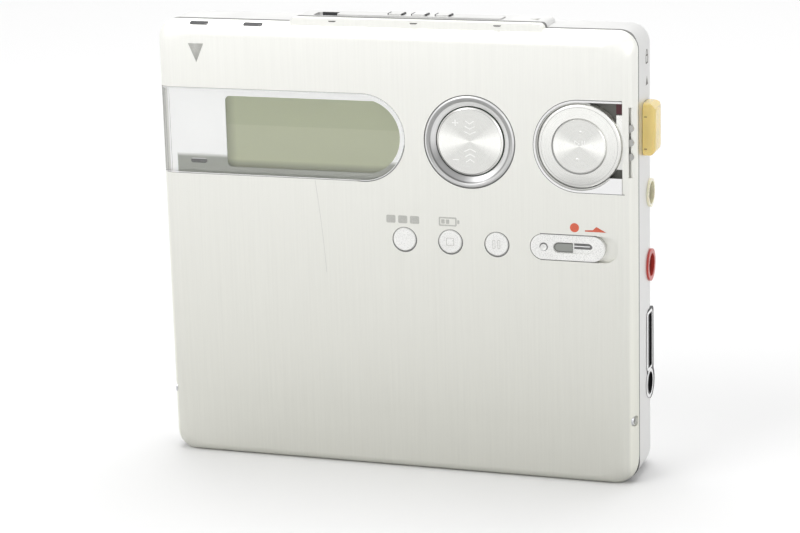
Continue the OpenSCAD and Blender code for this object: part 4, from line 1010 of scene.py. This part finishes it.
def finish_parts():
    """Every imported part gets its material, its loose triangles merged and its round surfaces smoothed."""
    for name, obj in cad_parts.items():
        obj.data.materials.clear()
        obj.data.materials.append(finish_of(name))
        obj.data.polygons.foreach_set("use_smooth", [True] * len(obj.data.polygons))
        weld = obj.modifiers.new("merge", "WELD")
        weld.merge_threshold = 1e-6
        split = obj.modifiers.new("sharp edges", "EDGE_SPLIT")
        split.split_angle = math.radians(28)
        flat = obj.modifiers.new("flat faces", "WEIGHTED_NORMAL")
        flat.weight = 80


class PLAYER_OT_finishes(Operator):
    """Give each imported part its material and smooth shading"""
    bl_idname = "player.finishes"
    bl_label = "Finish the parts"

    def execute(self, context):
        finish_parts()
        return {"FINISHED"}


class PLAYER_OT_face_marks(Operator):
    """Print the marks on the lid's face"""
    bl_idname = "player.face_marks"
    bl_label = "Face marks"

    def execute(self, context):
        face_marks()
        return {"FINISHED"}


class PLAYER_OT_window(Operator):
    """Line the display window with its seams and bevel"""
    bl_idname = "player.window"
    bl_label = "Window trim"

    def execute(self, context):
        window_detail()
        return {"FINISHED"}


class PLAYER_OT_pad(Operator):
    """Add the rings and marks of the volume pad"""
    bl_idname = "player.pad"
    bl_label = "Volume pad"

    def execute(self, context):
        pad_detail()
        return {"FINISHED"}


class PLAYER_OT_jog(Operator):
    """Add the lines, seal, stop and marks of the jog lever"""
    bl_idname = "player.jog"
    bl_label = "Jog lever"

    def execute(self, context):
        jog_detail()
        return {"FINISHED"}


class PLAYER_OT_keys(Operator):
    """Add the painted shadows in the gaps, and the marks, of the round keys"""
    bl_idname = "player.keys"
    bl_label = "Round keys"

    def execute(self, context):
        key_detail()
        return {"FINISHED"}


class PLAYER_OT_record(Operator):
    """Add the seam, insert, groove and dimple shade of the record slider"""
    bl_idname = "player.record"
    bl_label = "Record slider"

    def execute(self, context):
        record_detail()
        return {"FINISHED"}


class PLAYER_OT_top(Operator):
    """Add the slots and ticks of the lid's top and the strokes of the slider's grips"""
    bl_idname = "player.top"
    bl_label = "Top edge"

    def execute(self, context):
        top_detail()
        return {"FINISHED"}


class PLAYER_OT_side(Operator):
    """Add the marks, socket rims, pins, linings and screw slots of the sides"""
    bl_idname = "player.side"
    bl_label = "Sides"

    def execute(self, context):
        side_detail()
        screw_detail()
        return {"FINISHED"}


class PLAYER_OT_drive(Operator):
    """Add the pressed ribs of the disc holder"""
    bl_idname = "player.drive"
    bl_label = "Disc holder"

    def execute(self, context):
        drive_detail()
        return {"FINISHED"}


# Stage

def camera_turn():
    """Camera axes as columns: right, up and back, from the yaw and pitch of the view and then its roll."""
    yaw, pitch, roll = (math.radians(a) for a in VIEW_ANGLES)
    back = Vector((math.sin(yaw) * math.cos(pitch), -math.cos(yaw) * math.cos(pitch), math.sin(pitch)))
    level = Vector((math.cos(yaw), math.sin(yaw), 0))
    over = back.cross(level)
    right = math.cos(roll) * level + math.sin(roll) * over
    up = -math.sin(roll) * level + math.cos(roll) * over
    return Matrix((right, up, back)).transposed().to_4x4()


def lamp(name, place, size, power):
    """A square soft lamp that faces the player."""
    light = bpy.data.lights.new(name, "AREA")
    light.shape = "SQUARE"
    light.size = size
    light.energy = power
    obj = bpy.data.objects.new(name, light)
    obj.location = place
    obj.rotation_euler = (Vector(LAMPS_AIM) - Vector(place)).to_track_quat("-Z", "Y").to_euler()
    bpy.context.scene.collection.objects.link(obj)


def seen(tree):
    """1 for a ray that shows what it meets: to the eye, in metal or through glass."""
    path = tree.nodes.new("ShaderNodeLightPath")
    value = path.outputs["Is Camera Ray"]
    for name in ("Is Glossy Ray", "Is Transmission Ray"):
        node = tree.nodes.new("ShaderNodeMath")
        node.operation = "MAXIMUM"
        tree.links.new(value, node.inputs[0])
        tree.links.new(path.outputs[name], node.inputs[1])
        value = node.outputs[0]
    return value


def studio_world():
    """White to the eye, in metal and through glass, and a lower even light on the surfaces."""
    world = bpy.data.worlds.new("studio")
    world.use_nodes = True
    tree = world.node_tree
    tree.nodes.clear()
    mix = tree.nodes.new("ShaderNodeMixShader")
    tree.links.new(seen(tree), mix.inputs[0])
    for socket, strength in ((1, WORLD_LIGHT), (2, 1.0)):
        back = tree.nodes.new("ShaderNodeBackground")
        back.inputs["Color"].default_value = WHITE
        back.inputs["Strength"].default_value = strength
        tree.links.new(back.outputs[0], mix.inputs[socket])
    out = tree.nodes.new("ShaderNodeOutputWorld")
    tree.links.new(mix.outputs[0], out.inputs["Surface"])
    bpy.context.scene.world = world


def floor():
    """A wide pale floor under the player, which turns as white as the world with its distance from it."""
    s = FLOOR_HALF
    mesh = bpy.data.meshes.new("floor")
    mesh.from_pydata([(-s, -s, 0), (s, -s, 0), (s, s, 0), (-s, s, 0)], [], [(0, 1, 2, 3)])
    n = Nodes("pale floor")
    if n.new:
        slow = n.noise(n.place(), 4.0, 2.0)
        c = colours().floor
        n.set(Base_Color=n.tint(slow, rgba(c, 0.985), rgba(c, 1.01)), Roughness=0.75)
        away = n.vector("LENGTH", n.place())
        white = n.add("ShaderNodeEmission", {"Strength": 1.0}).outputs[0]
        fac = n.math("MULTIPLY", n.remap(away, 0.0, 1.0, *FLOOR_FADE), seen(n.tree))
        mix = n.add("ShaderNodeMixShader", {0: fac, 1: n.shader.outputs[0], 2: white}).outputs[0]
        n.tree.links.new(mix, n.tree.nodes["Material Output"].inputs["Surface"])
    mesh.materials.append(n.mat)
    obj = bpy.data.objects.new("floor", mesh)
    bpy.context.scene.collection.objects.link(obj)


class PLAYER_OT_stage(Operator):
    """Set up the floor, lamps, world and camera"""
    bl_idname = "player.stage"
    bl_label = "Studio"

    def execute(self, context):
        floor()
        studio_world()
        for values in LAMPS:
            lamp(*values)
        cam = bpy.data.cameras.new("camera")
        cam.sensor_fit = "HORIZONTAL"
        cam.sensor_width = SENSOR_W
        cam.lens = LENS
        cam.clip_start = 0.01
        obj = bpy.data.objects.new("camera", cam)
        obj.matrix_world = Matrix.Translation(Vector(VIEW_PLACE) * MM) @ camera_turn()
        context.scene.collection.objects.link(obj)
        context.scene.camera = obj
        context.scene.view_settings.view_transform = "Standard"
        return {"FINISHED"}


OPERATORS = (PLAYER_OT_finishes, PLAYER_OT_face_marks, PLAYER_OT_window, PLAYER_OT_pad, PLAYER_OT_jog,
             PLAYER_OT_keys, PLAYER_OT_record, PLAYER_OT_top, PLAYER_OT_side, PLAYER_OT_drive,
             PLAYER_OT_stage)


class PLAYER_PT_panel(Panel):
    """Steps of the player's looks"""
    bl_label = "Minidisc player"
    bl_idname = "PLAYER_PT_panel"
    bl_space_type = "VIEW_3D"
    bl_region_type = "UI"
    bl_category = "Player"

    def draw(self, context):
        for operator in OPERATORS:
            self.layout.operator(operator.bl_idname)
        for group in (context.scene.player_colours, context.scene.player_sizes):
            for name in group.__annotations__:
                self.layout.prop(group, name)


CLASSES = (PlayerColours, PlayerSizes) + OPERATORS + (PLAYER_PT_panel,)


def register():
    for cls in CLASSES:
        bpy.utils.register_class(cls)
    bpy.types.Scene.player_colours = PointerProperty(type=PlayerColours)
    bpy.types.Scene.player_sizes = PointerProperty(type=PlayerSizes)


def unregister():
    del bpy.types.Scene.player_sizes
    del bpy.types.Scene.player_colours
    for cls in reversed(CLASSES):
        bpy.utils.unregister_class(cls)


def corners(bounds):
    """A box's two corners as plain lists."""
    return [[float(v) for v in corner] for corner in bounds]


def main():
    register()
    for operator in OPERATORS:
        getattr(bpy.ops.player, operator.bl_idname.split(".")[1])()


if __name__ == "__main__":
    main()
